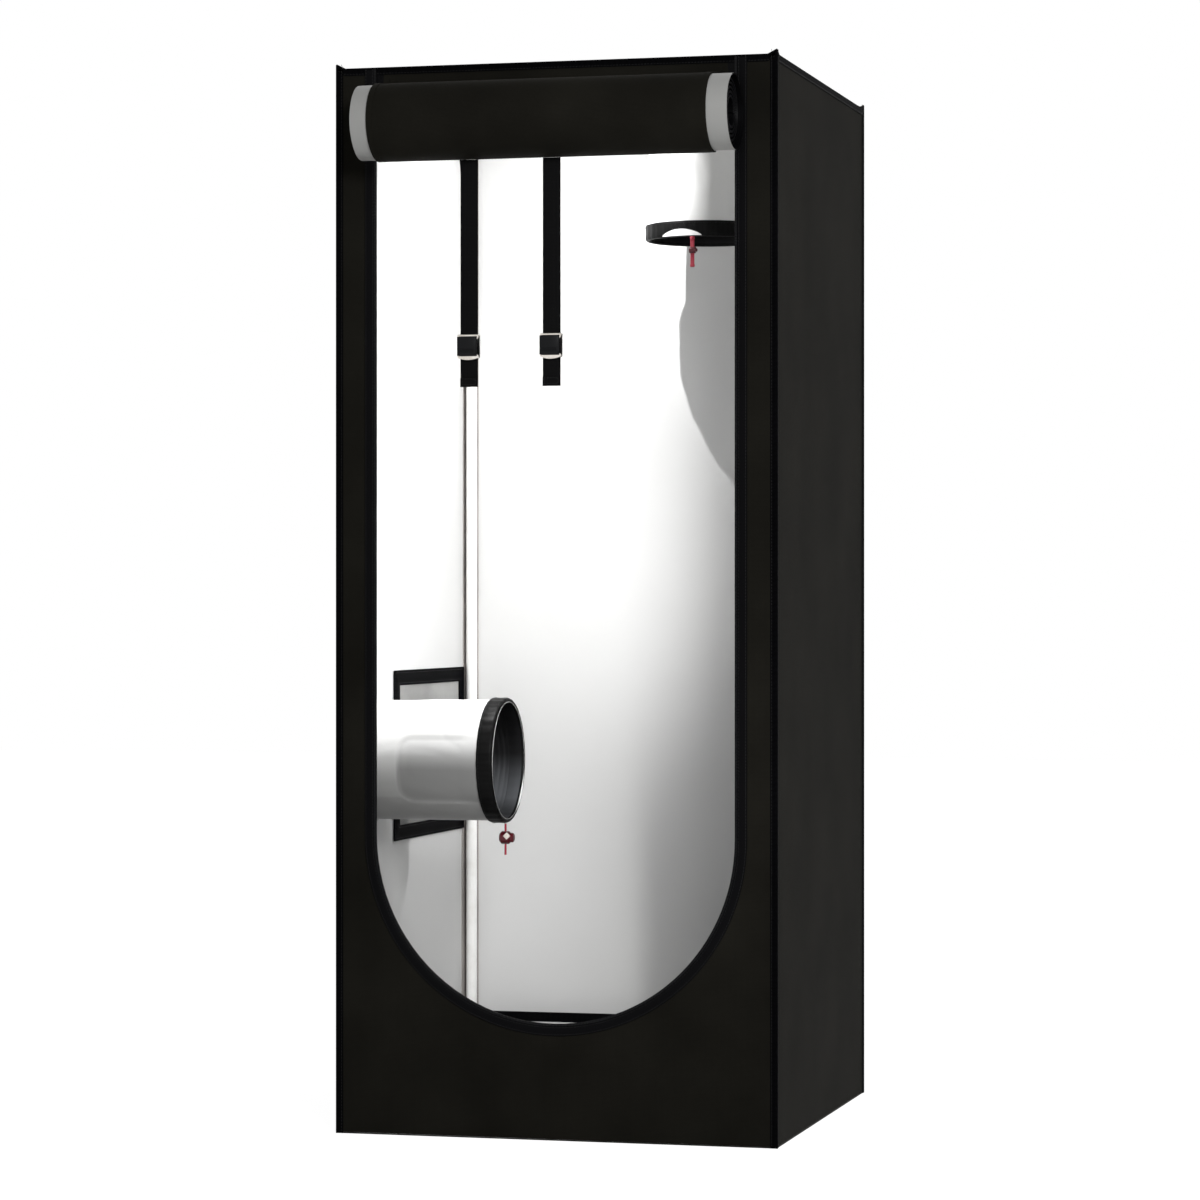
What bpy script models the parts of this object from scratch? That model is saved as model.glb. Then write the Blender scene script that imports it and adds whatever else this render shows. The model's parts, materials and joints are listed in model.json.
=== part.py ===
"""Indoor grow tent: a square fabric cabinet on a steel tube frame, with its front door rolled up.

Everything is in metres with +Z up. The origin is the middle of the footprint, on the floor, and
the door faces -Y. The frame is tubes pushed into three-way corners, the walls are fabric sheets
with their lining, and two ducting sleeves, a vent window, the rolled door with its wrap and
straps, the zip and a floor tray complete it.
"""

import math

import bmesh
import bpy
from mathutils import Matrix, Vector

# Overall
TENT_WIDTH = 0.600
TENT_DEPTH = 0.600
TENT_HEIGHT = 1.420
CLOTH = 0.0015  # a wall and its lining together
SEAT_GAP = 0.0003  # between pieces that touch
CUT_OVERRUN = 0.004  # how far a cutter reaches past what it cuts
TIP_RISE = 0.006  # the fabric stands up over each top corner
TIP_RUN = 0.012

# Frame
TUBE_DIAMETER = 0.016
TUBE_WALL = 0.0010
HUB_SIZE = 0.025
HUB_CHAMFER = 0.0021
SOCKET_DIAMETER = 0.0215
SOCKET_DEPTH = 0.030
BAR_PORT_GAP = 0.175  # from the roof port's middle forward to the front bar
BAR_BACK_INSET = 0.094  # from the back wall to the back bar
CLIP_WIDTH = 0.018
CLIP_MOUTH = 0.0130  # the snap opening under a bar clip
CLIP_FLOOR = 0.0021  # between the rail and the bar's end

# Door opening and zip
DOOR_SIDE_MARGIN = 0.0555  # front wall left beside the opening
DOOR_FOOT_Z = 0.1540
ZIP_TAPE_WIDTH = 0.0163
ZIP_TAPE = 0.0008
ZIP_BEAD_WIDTH = 0.0030
ZIP_BEAD_HEIGHT = 0.0014
SLIDER_HEIGHT = 0.020
SLIDER_PLATE = 0.0012
SLIDER_BRIDGE = 0.0032
SLIDER_REACH = 0.0070  # over the tape, from its edge
SLIDER_DROP = 0.0450  # below the tent's top
LUG_WIDTH = 0.0030
LUG_DEPTH = 0.0043
LUG_HEIGHT = 0.0044
LUG_HOLE_RADIUS = 0.0013
PULL_WIDTH = 0.0080
PULL_LENGTH = 0.0240
PULL_PLATE = 0.0014
PULL_CORNER = 0.00125
PULL_WINDOW_HEIGHT = 0.0044

# Rolled door
ROLL_RADIUS = 0.0521
ROLL_CORE_RADIUS = 0.0165
ROLL_OVERHANG = 0.0042  # past the opening at each end
ROLL_DROP = 0.0780  # from the tent's top to the roll's middle
ROLL_BACK_GAP = 0.0050  # from the roll's back to the front wall
ROLL_TURNS = 6
DOOR_TAIL_SIDE_GAP = 0.0050
WRAP = 0.0012
WRAP_END_INSET = 0.0192  # from the roll's end
WRAP_SEAM_DROP = 0.0200  # below the tent's top
WRAP_SEAM_HEIGHT = 0.0070
WRAP_END_ANGLE = math.radians(282)

# Straps and buckles
STRAP_WIDTH = 0.0240
STRAP = 0.0015
STRAP_REACH = 0.3506  # from the roll's middle down to the strap's foot
STRAP_FOLD = 0.012  # the doubled end
STRAP_LEFT_X = -0.1020
STRAP_RIGHT_X = 0.0100
BUCKLE_RISE = 0.0518  # from the strap's foot up to the middle of the buckle
BUCKLE_HEIGHT = 0.0334
BUCKLE_CHEEK = 0.0018
BUCKLE_BACK = 0.0014
BUCKLE_TOP_BAR = 0.0023
BUCKLE_FOOT_BAR = 0.0048
BUCKLE_FOOT_SAG = 0.0030  # how far the foot bar bulges down in its middle
BUCKLE_CHAMFER = 0.0006
STRAP_PLAY = 0.0004  # between the strap and the buckle's cheeks
LEVER_RADIUS = 0.0032
LEVER_LENGTH = 0.0250
LEVER_TOP_GAP = 0.0006
PIN_RADIUS = 0.0011
PIN_PLAY = 0.0004

# Ducting sleeves
PORT_RADIUS = 0.0820  # outside of a sleeve
SLEEVE = 0.0015
FLANGE_WIDTH = 0.0100
HEM_WIDTH = 0.0220
HEM_OUTER = 0.0032
HEM_INNER = 0.0015
HEM_LIP = 0.0012
WALL_PORT_INSET = 0.1350  # from the front wall to the port's middle
WALL_PORT_Z = 0.4945
WALL_SLEEVE_REACH = 0.2000  # from the outside of the wall to the mouth
ROOF_PORT_SIDE_INSET = 0.1820  # from the right wall to the port's middle
ROOF_PORT_BACK_INSET = 0.2200  # from the back wall to the port's middle
ROOF_SLEEVE_REACH = 0.2050  # from the tent's top down to the mouth

# Drawstrings and cord locks
CORD_DIAMETER = 0.0030
CORD_LENGTH = 0.0425
CORD_INSET = 0.0045  # from the hem's mouth to the cord
CORD_SPAN_POINTS = 7
LOCK_DROP = 0.0190  # from the hem to the middle of the lock
LOCK_RADIUS = 0.0088
LOCK_LENGTH = 0.0150
LOCK_WALL = 0.0020
LOCK_FLOOR = 0.0025
LOCK_CORNER = 0.0026
BUTTON_PROUD = 0.0042
BUTTON_TRAVEL = 0.0020
BUTTON_SPRING_ROOM = 0.0030
CORD_PLAY = 0.0006

# Vent window
VENT_PORT_GAP = 0.1070  # from the wall port's middle back to the frame
VENT_BACK_INSET = 0.0170  # from the back wall to the frame
VENT_FOOT_Z = 0.3750
VENT_TOP_Z = 0.6135
VENT_SIDE_STRIP = 0.0260
VENT_FLAT_STRIP = 0.0212
VENT_FRAME = 0.0012
NET = 0.0006
NET_STRAND = 0.0022
NET_EDGE = 0.0060
NET_COLUMNS = 12
NET_ROWS = 9
FLAP_MARGIN = 0.0120
FLAP_HINGE_RISE = 0.0080

# Floor tray
TRAY = 0.0012
TRAY_HEIGHT = 0.1050
TRAY_HEM_HEIGHT = 0.0140
TRAY_HEM = 0.0008
TRAY_SIDE_GAP = 0.0010

# Facets
TUBE_STEPS = 16
PORT_STEPS = 40
DOOR_ARC_STEPS = 28
ROLL_STEPS_PER_TURN = 22
TAIL_STEPS = 6
WRAP_STEPS = 22
SMALL_STEPS = 12
CORNER_STEPS = 4

# Places that follow from the sizes
HALF_W = TENT_WIDTH / 2
HALF_D = TENT_DEPTH / 2
FRAME_INSET = CLOTH + SEAT_GAP + HUB_SIZE / 2
FRAME_X = HALF_W - FRAME_INSET
FRAME_Y = HALF_D - FRAME_INSET
FRAME_LOW = FRAME_INSET
FRAME_HIGH = TENT_HEIGHT - FRAME_INSET
WALL_FOOT = CLOTH + SEAT_GAP
WALL_TOP = TENT_HEIGHT - CLOTH - SEAT_GAP
TUBE_RADIUS = TUBE_DIAMETER / 2
SOCKET_BORE = TUBE_RADIUS + SEAT_GAP
DOOR_HALF_WIDTH = HALF_W - DOOR_SIDE_MARGIN
DOOR_ARC_Z = DOOR_FOOT_Z + DOOR_HALF_WIDTH
DOOR_TAIL_HALF = DOOR_HALF_WIDTH - DOOR_TAIL_SIDE_GAP
SLIDER_Z = TENT_HEIGHT - SLIDER_DROP
ROLL_CENTRE_Y = -HALF_D - ROLL_BACK_GAP - ROLL_RADIUS
ROLL_CENTRE_Z = TENT_HEIGHT - ROLL_DROP
ROLL_HALF_LENGTH = DOOR_HALF_WIDTH + ROLL_OVERHANG
WRAP_HALF_LENGTH = ROLL_HALF_LENGTH - WRAP_END_INSET
WRAP_SEAM_Z = TENT_HEIGHT - WRAP_SEAM_DROP
STRAP_FOOT_Z = ROLL_CENTRE_Z - STRAP_REACH
BUCKLE_Z = STRAP_FOOT_Z + BUCKLE_RISE
SLEEVE_BORE = PORT_RADIUS - SLEEVE
WALL_PORT_Y = -HALF_D + WALL_PORT_INSET
WALL_PORT_MOUTH_X = -HALF_W + WALL_SLEEVE_REACH
ROOF_PORT_X = HALF_W - ROOF_PORT_SIDE_INSET
ROOF_PORT_Y = HALF_D - ROOF_PORT_BACK_INSET
ROOF_PORT_MOUTH_Z = TENT_HEIGHT - ROOF_SLEEVE_REACH
BAR_FRONT_Y = ROOF_PORT_Y - BAR_PORT_GAP
BAR_BACK_Y = HALF_D - BAR_BACK_INSET
VENT_FRONT_Y = WALL_PORT_Y + VENT_PORT_GAP
VENT_BACK_Y = HALF_D - VENT_BACK_INSET

# Planes that a flat outline is drawn in: (across, up, deep) to world
FLAT = Matrix.Identity(4)
FACING_Y = Matrix(((1, 0, 0, 0), (0, 0, 1, 0), (0, 1, 0, 0), (0, 0, 0, 1)))
FACING_X = Matrix(((0, 0, 1, 0), (1, 0, 0, 0), (0, 1, 0, 0), (0, 0, 0, 1)))


def clear_scene():
    """Removes what the scene starts with."""
    for item in list(bpy.data.objects):
        bpy.data.objects.remove(item)


def material(name, colour, roughness, metallic=0.0):
    """A Principled material in one linear colour."""
    made = bpy.data.materials.new(name)
    made.use_nodes = True
    shader = made.node_tree.nodes["Principled BSDF"]
    shader.inputs["Base Color"].default_value = (*colour, 1.0)
    shader.inputs["Roughness"].default_value = roughness
    shader.inputs["Metallic"].default_value = metallic
    return made


def finished(bm, name):
    """Turns bm's faces outwards and returns it as a mesh."""
    bmesh.ops.remove_doubles(bm, verts=bm.verts, dist=SEAT_GAP / 100)
    bmesh.ops.recalc_face_normals(bm, faces=bm.faces)
    mesh = bpy.data.meshes.new(name)
    bm.to_mesh(mesh)
    bm.free()
    return mesh


def put(name, mesh, finish, at=(0, 0, 0), turn=(0, 0, 0), parent=None, smooth=None):
    """Adds an object; at is a world place, also under a parent that isn't turned."""
    mesh.materials.clear()
    mesh.materials.append(finish)
    if smooth is not None:
        mesh.shade_smooth()
        mesh.set_sharp_from_angle(angle=smooth)
    item = bpy.data.objects.new(name, mesh)
    bpy.context.scene.collection.objects.link(item)
    item.rotation_euler = turn
    home = Vector(at)
    if parent is not None:
        item.parent = parent
        home -= world_place(parent)
    item.location = home
    return item


def world_place(item):
    """Where an unturned chain of parents puts item."""
    place = Vector(item.location)
    return place + world_place(item.parent) if item.parent else place


def plate(name, outline, low, high, plane=FLAT, holes=()):
    """A flat sheet with the given outline and holes, from depth low to depth high."""
    bm = bmesh.new()
    edges = []
    for loop in (outline, *holes):
        verts = [bm.verts.new((across, up, low)) for across, up in loop]
        edges += [bm.edges.new((verts[i - 1], verts[i])) for i in range(len(verts))]
    bmesh.ops.triangle_fill(bm, edges=edges, use_beauty=True, normal=(0, 0, 1))
    grown = bmesh.ops.extrude_face_region(bm, geom=bm.faces[:])
    top = [g for g in grown["geom"] if isinstance(g, bmesh.types.BMVert)]
    bmesh.ops.translate(bm, verts=top, vec=(0, 0, high - low))
    bm.transform(plane)
    return finished(bm, name)


def loft(name, rings, closed=False):
    """Joins rings of points, with end caps unless the rings close on themselves."""
    bm = bmesh.new()
    rows = [[bm.verts.new(point) for point in ring] for ring in rings]
    count = len(rows[0])
    pairs = list(zip(rows, rows[1:]))
    if closed:
        pairs.append((rows[-1], rows[0]))
    for one, two in pairs:
        for i in range(count):
            bm.faces.new((one[i - 1], one[i], two[i], two[i - 1]))
    if not closed:
        bm.faces.new(rows[0])
        bm.faces.new(rows[-1])
    return finished(bm, name)


def turned(name, profile, steps, place=FLAT):
    """A ring turned about its own Z from a closed profile of (radius, height) points."""
    rings = []
    for i in range(steps):
        turn = math.tau * i / steps
        rings.append(
            [place @ Vector((r * math.cos(turn), r * math.sin(turn), h)) for r, h in profile]
        )
    return loft(name, rings, closed=True)


def rod(name, radius, low, high, steps, place=FLAT):
    """A solid round bar along its own Z."""
    circle = arc((0, 0), radius, 0, math.tau, steps)[:-1]
    rings = [[place @ Vector((u, v, h)) for u, v in circle] for h in (low, high)]
    return loft(name, rings)


def box(name, low, high):
    """A block between two corners."""
    outline = [(low[0], low[1]), (high[0], low[1]), (high[0], high[1]), (low[0], high[1])]
    return plate(name, outline, low[2], high[2])


def arc(centre, radius, start, end, steps):
    """Points on a circle, both ends included."""
    turns = [start + (end - start) * i / steps for i in range(steps + 1)]
    return [(centre[0] + radius * math.cos(t), centre[1] + radius * math.sin(t)) for t in turns]


def rounded(low, high, radius, steps=CORNER_STEPS):
    """A rectangle with round corners, between two corners of a flat plane."""
    corners = [(high[0], high[1]), (low[0], high[1]), (low[0], low[1]), (high[0], low[1])]
    inward = [(-1, -1), (1, -1), (1, 1), (-1, 1)]
    points = []
    for i, (corner, lean) in enumerate(zip(corners, inward)):
        centre = (corner[0] + lean[0] * radius, corner[1] + lean[1] * radius)
        points += arc(centre, radius, math.tau * i / 4, math.tau * (i + 1) / 4, steps)
    return points


def rectangle(low, high):
    """The four corners of a flat rectangle."""
    return [low, (high[0], low[1]), high, (low[0], high[1])]


def aimed(axis, at=(0, 0, 0)):
    """A placing that turns a piece's own Z to axis and moves it to at."""
    turn = Vector((0, 0, 1)).rotation_difference(Vector(axis)).to_matrix().to_4x4()
    return Matrix.Translation(at) @ turn


def combined(base, tool, operation):
    """base joined with tool, or cut by it, as a new mesh."""
    body = bpy.data.objects.new("body", base)
    cutter = bpy.data.objects.new("cutter", tool)
    for item in (body, cutter):
        bpy.context.scene.collection.objects.link(item)
    step = body.modifiers.new("step", "BOOLEAN")
    step.object = cutter
    step.operation = operation
    graph = bpy.context.evaluated_depsgraph_get()
    result = bpy.data.meshes.new_from_object(body.evaluated_get(graph))
    for item in (body, cutter):
        bpy.data.objects.remove(item)
    return result


def joined(base, *tools):
    """base with each tool added."""
    for tool in tools:
        base = combined(base, tool, "UNION")
    return base


def cut(base, *tools):
    """base with each tool taken out."""
    for tool in tools:
        base = combined(base, tool, "DIFFERENCE")
    return base


def softened(mesh, width, angle=math.radians(50)):
    """mesh with a single chamfer on its sharp edges."""
    bm = bmesh.new()
    bm.from_mesh(mesh)
    bmesh.ops.dissolve_limit(bm, angle_limit=math.radians(1), verts=bm.verts, edges=bm.edges)
    sharp = [e for e in bm.edges if e.is_manifold and e.calc_face_angle() > angle]
    bmesh.ops.bevel(bm, geom=sharp, offset=width, segments=1, affect="EDGES", clamp_overlap=True)
    return finished(bm, mesh.name)


def tube_mesh(name, length):
    """A frame tube standing on its own origin."""
    bore = TUBE_RADIUS - TUBE_WALL
    profile = [(bore, 0), (TUBE_RADIUS, 0), (TUBE_RADIUS, length), (bore, length)]
    return turned(name, profile, TUBE_STEPS)


def frame_tubes(finish):
    """Corner poles and the rails round the base and the top, each seated in its sockets."""
    seat = HUB_SIZE / 2 + SEAT_GAP
    smooth = math.radians(40)
    pole = tube_mesh("pole", FRAME_HIGH - FRAME_LOW - 2 * seat)
    across = tube_mesh("rail_across", 2 * (FRAME_X - seat))
    deep = tube_mesh("rail_deep", 2 * (FRAME_Y - seat))
    for end, y in (("front", -FRAME_Y), ("back", FRAME_Y)):
        for side, x in (("left", -FRAME_X), ("right", FRAME_X)):
            at = (x, y, FRAME_LOW + seat)
            put(f"corner_pole_{end}_{side}", pole, finish, at, smooth=smooth)
    for level, z in (("base", FRAME_LOW), ("top", FRAME_HIGH)):
        for end, y in (("front", -FRAME_Y), ("back", FRAME_Y)):
            at = (seat - FRAME_X, y, z)
            put(f"{level}_rail_{end}", across, finish, at, (0, math.pi / 2, 0), smooth=smooth)
        for side, x in (("left", -FRAME_X), ("right", FRAME_X)):
            at = (x, FRAME_Y - seat, z)
            put(f"{level}_rail_{side}", deep, finish, at, (math.pi / 2, 0, 0), smooth=smooth)


def corner_mesh():
    """A three-way corner: a hub with a socket along +X, +Y and +Z."""
    half = HUB_SIZE / 2
    reach = half + SOCKET_DEPTH
    hub = softened(box("corner", (-half,) * 3, (half,) * 3), HUB_CHAMFER)
    axes = ((1, 0, 0), (0, 1, 0), (0, 0, 1))
    for axis in axes:
        arm = rod("arm", SOCKET_DIAMETER / 2, 0, reach, TUBE_STEPS, aimed(axis))
        hub = joined(hub, arm)
    for axis in axes:
        bore = rod("bore", SOCKET_BORE, half, reach + CUT_OVERRUN, TUBE_STEPS, aimed(axis))
        hub = cut(hub, bore)
    return hub


def corners(finish):
    """The eight corners, each turned so that its sockets point into the frame."""
    mesh = corner_mesh()
    quarter = math.pi / 2
    base_turns = {("front", "left"): 0, ("front", "right"): 1, ("back", "right"): 2,
                  ("back", "left"): 3}
    for (end, side), turns in base_turns.items():
        x = -FRAME_X if side == "left" else FRAME_X
        y = -FRAME_Y if end == "front" else FRAME_Y
        put(f"corner_base_{end}_{side}", mesh, finish, (x, y, FRAME_LOW), (0, 0, turns * quarter))
        top_turn = (math.pi, 0, (turns + 1) * quarter)
        put(f"corner_top_{end}_{side}", mesh, finish, (x, y, FRAME_HIGH), top_turn)


def clip_mesh():
    """A bar's end clip on the left rail: a snap-on saddle along Y with a socket along +X."""
    radius = SOCKET_DIAMETER / 2
    half = CLIP_WIDTH / 2
    reach = radius + CLIP_WIDTH
    saddle = rod("clip", radius, -half, half, TUBE_STEPS, aimed((0, 1, 0)))
    clip = joined(saddle, rod("arm", radius - SEAT_GAP, 0, reach, TUBE_STEPS, aimed((1, 0, 0))))
    far = half + CUT_OVERRUN
    rail = rod("rail", SOCKET_BORE, -far, far, TUBE_STEPS, aimed((0, 1, 0)))
    bar = rod("bar", SOCKET_BORE, clip_floor(), reach + CUT_OVERRUN, TUBE_STEPS, aimed((1, 0, 0)))
    mouth = CLIP_MOUTH / 2
    snap = box("snap", (-mouth, -far, -radius - CUT_OVERRUN), (mouth, far, 0))
    return cut(clip, rail, bar, snap)


def clip_floor():
    """How far a bar's end stands from its rail's axis, less the seat gap."""
    return SOCKET_DIAMETER / 2 + CLIP_FLOOR


def hanging_bars(steel, plastic):
    """Two bars that slide along the top side rails on snap-on clips."""
    start = FRAME_X - clip_floor() - SEAT_GAP
    bar = tube_mesh("hanging_bar", 2 * start)
    clip = clip_mesh()
    smooth = math.radians(40)
    for end, y in (("front", BAR_FRONT_Y), ("back", BAR_BACK_Y)):
        at = (-start, y, FRAME_HIGH)
        put(f"hanging_bar_{end}", bar, steel, at, (0, math.pi / 2, 0), smooth=smooth)
        put(f"bar_clip_{end}_left", clip, plastic, (-FRAME_X, y, FRAME_HIGH))
        put(f"bar_clip_{end}_right", clip, plastic, (FRAME_X, y, FRAME_HIGH), (0, 0, math.pi))


def tip_rise(inset):
    """How high the fabric stands over the top edge, that far in from a corner."""
    return TIP_RISE * max(0, 1 - inset / TIP_RUN)


def door_edge():
    """The door opening's edge, from its top left down and round to its top right."""
    bottom = arc((0, DOOR_ARC_Z), DOOR_HALF_WIDTH, math.pi, math.tau, DOOR_ARC_STEPS)
    return [(-DOOR_HALF_WIDTH, WALL_TOP), *bottom, (DOOR_HALF_WIDTH, WALL_TOP)]


def front_panel(finish):
    """The front wall, which the door leaves open from its round foot to the top edge."""
    tip = WALL_TOP + tip_rise(CLOTH)
    left = [(-HALF_W + TIP_RUN, WALL_TOP), (-HALF_W + CLOTH, tip), (-HALF_W, tip)]
    right = [(-x, z) for x, z in reversed(left)]
    outline = [*left, (-HALF_W, WALL_FOOT), (HALF_W, WALL_FOOT), *right, *reversed(door_edge())]
    mesh = plate("front_panel", outline, -HALF_D, -HALF_D + CLOTH, FACING_Y)
    put("front_panel", mesh, finish)


def back_panel(finish):
    """The plain back wall."""
    tip = WALL_TOP + tip_rise(CLOTH)
    left = [(-HALF_W + TIP_RUN, WALL_TOP), (-HALF_W + CLOTH, tip), (-HALF_W, tip)]
    right = [(-x, z) for x, z in reversed(left)]
    outline = [*left, (-HALF_W, WALL_FOOT), (HALF_W, WALL_FOOT), *right]
    put("back_panel", plate("back_panel", outline, HALF_D - CLOTH, HALF_D, FACING_Y), finish)


def side_outline():
    """A side wall's outline between the front and back walls."""
    end = HALF_D - CLOTH - SEAT_GAP
    tip = WALL_TOP + tip_rise(CLOTH + SEAT_GAP)
    front = [(-HALF_D + TIP_RUN, WALL_TOP), (-end, tip), (-end, WALL_FOOT)]
    return [*front, *[(-y, z) for y, z in reversed(front)]]


def vent_window():
    """The clear window's low and high corners, across and up."""
    low = (VENT_FRONT_Y + VENT_SIDE_STRIP, VENT_FOOT_Z + VENT_FLAT_STRIP)
    high = (VENT_BACK_Y - VENT_SIDE_STRIP, VENT_TOP_Z - VENT_FLAT_STRIP)
    return low, high


def side_panels(finish):
    """The plain right wall, and the left wall with its duct hole and vent window."""
    right = plate("right_panel", side_outline(), HALF_W - CLOTH, HALF_W, FACING_X)
    put("right_panel", right, finish)
    duct = arc((WALL_PORT_Y, WALL_PORT_Z), SLEEVE_BORE, 0, math.tau, PORT_STEPS)[:-1]
    holes = (duct, rectangle(*vent_window()))
    left = plate("left_panel", side_outline(), -HALF_W, -HALF_W + CLOTH, FACING_X, holes)
    put("left_panel", left, finish)


def roof_panel(finish):
    """The roof, whose corners the frame pushes up, with its duct hole."""
    bm = bmesh.new()
    stations_x = (-HALF_W, -HALF_W + TIP_RUN, HALF_W - TIP_RUN, HALF_W)
    stations_y = (-HALF_D, -HALF_D + TIP_RUN, HALF_D - TIP_RUN, HALF_D)
    low = TENT_HEIGHT - CLOTH
    grid = {}
    for i, x in enumerate(stations_x):
        for j, y in enumerate(stations_y):
            rise = TIP_RISE if i in (0, 3) and j in (0, 3) else 0
            grid[i, j] = bm.verts.new((x, y, low + rise))
    for i in range(3):
        for j in range(3):
            ring = [grid[i, j], grid[i + 1, j], grid[i + 1, j + 1], grid[i, j + 1]]
            if i == 1 or j == 1:
                bm.faces.new(ring)
                continue
            turn = 0 if i == j else 1
            ring = ring[turn:] + ring[:turn]
            bm.faces.new(ring[:3])
            bm.faces.new([ring[2], ring[3], ring[0]])
    grown = bmesh.ops.extrude_face_region(bm, geom=bm.faces[:])
    top = [g for g in grown["geom"] if isinstance(g, bmesh.types.BMVert)]
    bmesh.ops.translate(bm, verts=top, vec=(0, 0, CLOTH))
    sheet = finished(bm, "roof_panel")
    place = aimed((0, 0, 1), (ROOF_PORT_X, ROOF_PORT_Y, 0))
    far = TENT_HEIGHT + TIP_RISE
    hole = rod("hole", SLEEVE_BORE, low - CUT_OVERRUN, far, PORT_STEPS, place)
    put("roof_panel", cut(sheet, hole), finish)


def floor_panel(finish):
    """The floor that the walls stand on."""
    low, high = (-HALF_W, -HALF_D, 0), (HALF_W, HALF_D, CLOTH)
    put("floor_panel", box("floor_panel", low, high), finish)


def zip_track(finish):
    """The zip's tape and its raised row of teeth, sewn round the door opening."""
    face = SEAT_GAP
    crown = face + ZIP_TAPE + ZIP_BEAD_HEIGHT
    section = [(0, face), (0, crown), (ZIP_BEAD_WIDTH, crown), (ZIP_BEAD_WIDTH, face + ZIP_TAPE),
               (ZIP_TAPE_WIDTH, face + ZIP_TAPE), (ZIP_TAPE_WIDTH, face)]
    path = door_edge()
    rings = []
    for i, (x, z) in enumerate(path):
        if i == 0 or i == len(path) - 1:
            out = Vector((math.copysign(1, x), 0, 0))
        else:
            out = Vector((x, 0, z - DOOR_ARC_Z)).normalized()
        rings.append(
            [Vector((x, -HALF_D - deep, z)) + out * across for across, deep in section]
        )
    put("zip_track", loft("zip_track", rings), finish)


def zip_sliders(finish):
    """A slider that hooks round the panel's edge on each side, and its pull on the inside."""
    outer = -HALF_D - SEAT_GAP - ZIP_TAPE - ZIP_BEAD_HEIGHT - SEAT_GAP
    inner = -HALF_D + CLOTH + SEAT_GAP
    back = inner + SLIDER_PLATE * 2
    low, high = SLIDER_Z - SLIDER_HEIGHT / 2, SLIDER_Z + SLIDER_HEIGHT / 2
    for side, sign in (("left", -1), ("right", 1)):
        edge = DOOR_HALF_WIDTH - SEAT_GAP
        nose = edge - SLIDER_BRIDGE
        tail = DOOR_HALF_WIDTH + SLIDER_REACH
        hook = [(nose, outer - SLIDER_PLATE), (tail, outer - SLIDER_PLATE), (tail, outer),
                (edge, outer), (edge, inner), (tail, inner), (tail, back), (nose, back)]
        outline = [(sign * x, y) for x, y in hook]
        name = f"zip_slider_{side}"
        middle = sign * (nose + tail) / 2
        pivot = (middle, back + LUG_DEPTH / 2, SLIDER_Z + SLIDER_HEIGHT / 4)
        body = joined(plate(name, outline, low, high), slider_lug(pivot, back))
        hole = rod("hole", LUG_HOLE_RADIUS, -LUG_WIDTH, LUG_WIDTH, SMALL_STEPS,
                   aimed((1, 0, 0), pivot))
        slider = put(name, cut(body, hole), finish)
        zip_pull(side, pivot, slider, finish)


def slider_lug(pivot, back):
    """The eye that a pull hangs from, on a slider's inner plate."""
    x, _, z = pivot
    low = (x - LUG_WIDTH / 2, back - SLIDER_PLATE, z - LUG_HEIGHT / 2)
    high = (x + LUG_WIDTH / 2, back + LUG_DEPTH, z + LUG_HEIGHT / 2)
    return box("lug", low, high)


def zip_pull(side, pivot, slider, finish):
    """A flat pull whose top bar lies in the lug's eye."""
    half = PULL_PLATE / 2
    top = half
    outline = rounded((-PULL_WIDTH / 2, top - PULL_LENGTH), (PULL_WIDTH / 2, top), PULL_CORNER)
    clear = LUG_WIDTH / 2 + SEAT_GAP
    window = rectangle((-clear, -half - PULL_WINDOW_HEIGHT), (clear, -half))
    mesh = plate(f"zip_pull_{side}", outline, -half, half, FACING_Y, (window,))
    put(f"zip_pull_{side}", mesh, finish, pivot, parent=slider)


def spiral_radius(turn):
    """The rolled door's middle radius, where turn runs from minus all its turns up to zero."""
    outer = ROLL_RADIUS - CLOTH / 2
    inner = ROLL_CORE_RADIUS + CLOTH / 2
    return outer + (outer - inner) * turn / (math.tau * ROLL_TURNS)


def spiral_line():
    """The rolled door's middle line in (y, z), from its core out to the roll's back."""
    points = []
    for i in range(ROLL_TURNS * ROLL_STEPS_PER_TURN + 1):
        turn = math.tau * (i / ROLL_STEPS_PER_TURN - ROLL_TURNS)
        radius = spiral_radius(turn)
        points.append((ROLL_CENTRE_Y + radius * math.cos(turn),
                       ROLL_CENTRE_Z + radius * math.sin(turn)))
    return points


def tail_line():
    """The door's free length in (y, z), from the roll's back up to the top edge."""
    start = Vector((ROLL_CENTRE_Y + ROLL_RADIUS - CLOTH / 2, ROLL_CENTRE_Z))
    end = Vector((-HALF_D + CLOTH / 2, WALL_TOP))
    rise = (end.y - start.y) / 3
    hold = (start, start + Vector((0, rise)), end - Vector((0, rise)), end)
    points = []
    for i in range(TAIL_STEPS):
        t = (i + 1) / TAIL_STEPS
        weights = ((1 - t) ** 3, 3 * t * (1 - t) ** 2, 3 * t * t * (1 - t), t**3)
        spot = sum((w * p for w, p in zip(weights, hold)), Vector((0, 0)))
        points.append((spot.x, spot.y))
    return points


def strip(name, line, half_lengths, thick):
    """A sheet that follows a line in (y, z), as wide at each point as half_lengths says."""
    rings = []
    for i, (y, z) in enumerate(line):
        before = Vector(line[max(i - 1, 0)])
        after = Vector(line[min(i + 1, len(line) - 1)])
        along = (after - before).normalized()
        off = Vector((-along.y, along.x)) * thick / 2
        half = half_lengths[i]
        rings.append([(-half, y + off.x, z + off.y), (half, y + off.x, z + off.y),
                      (half, y - off.x, z - off.y), (-half, y - off.x, z - off.y)])
    return loft(name, rings)


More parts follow.
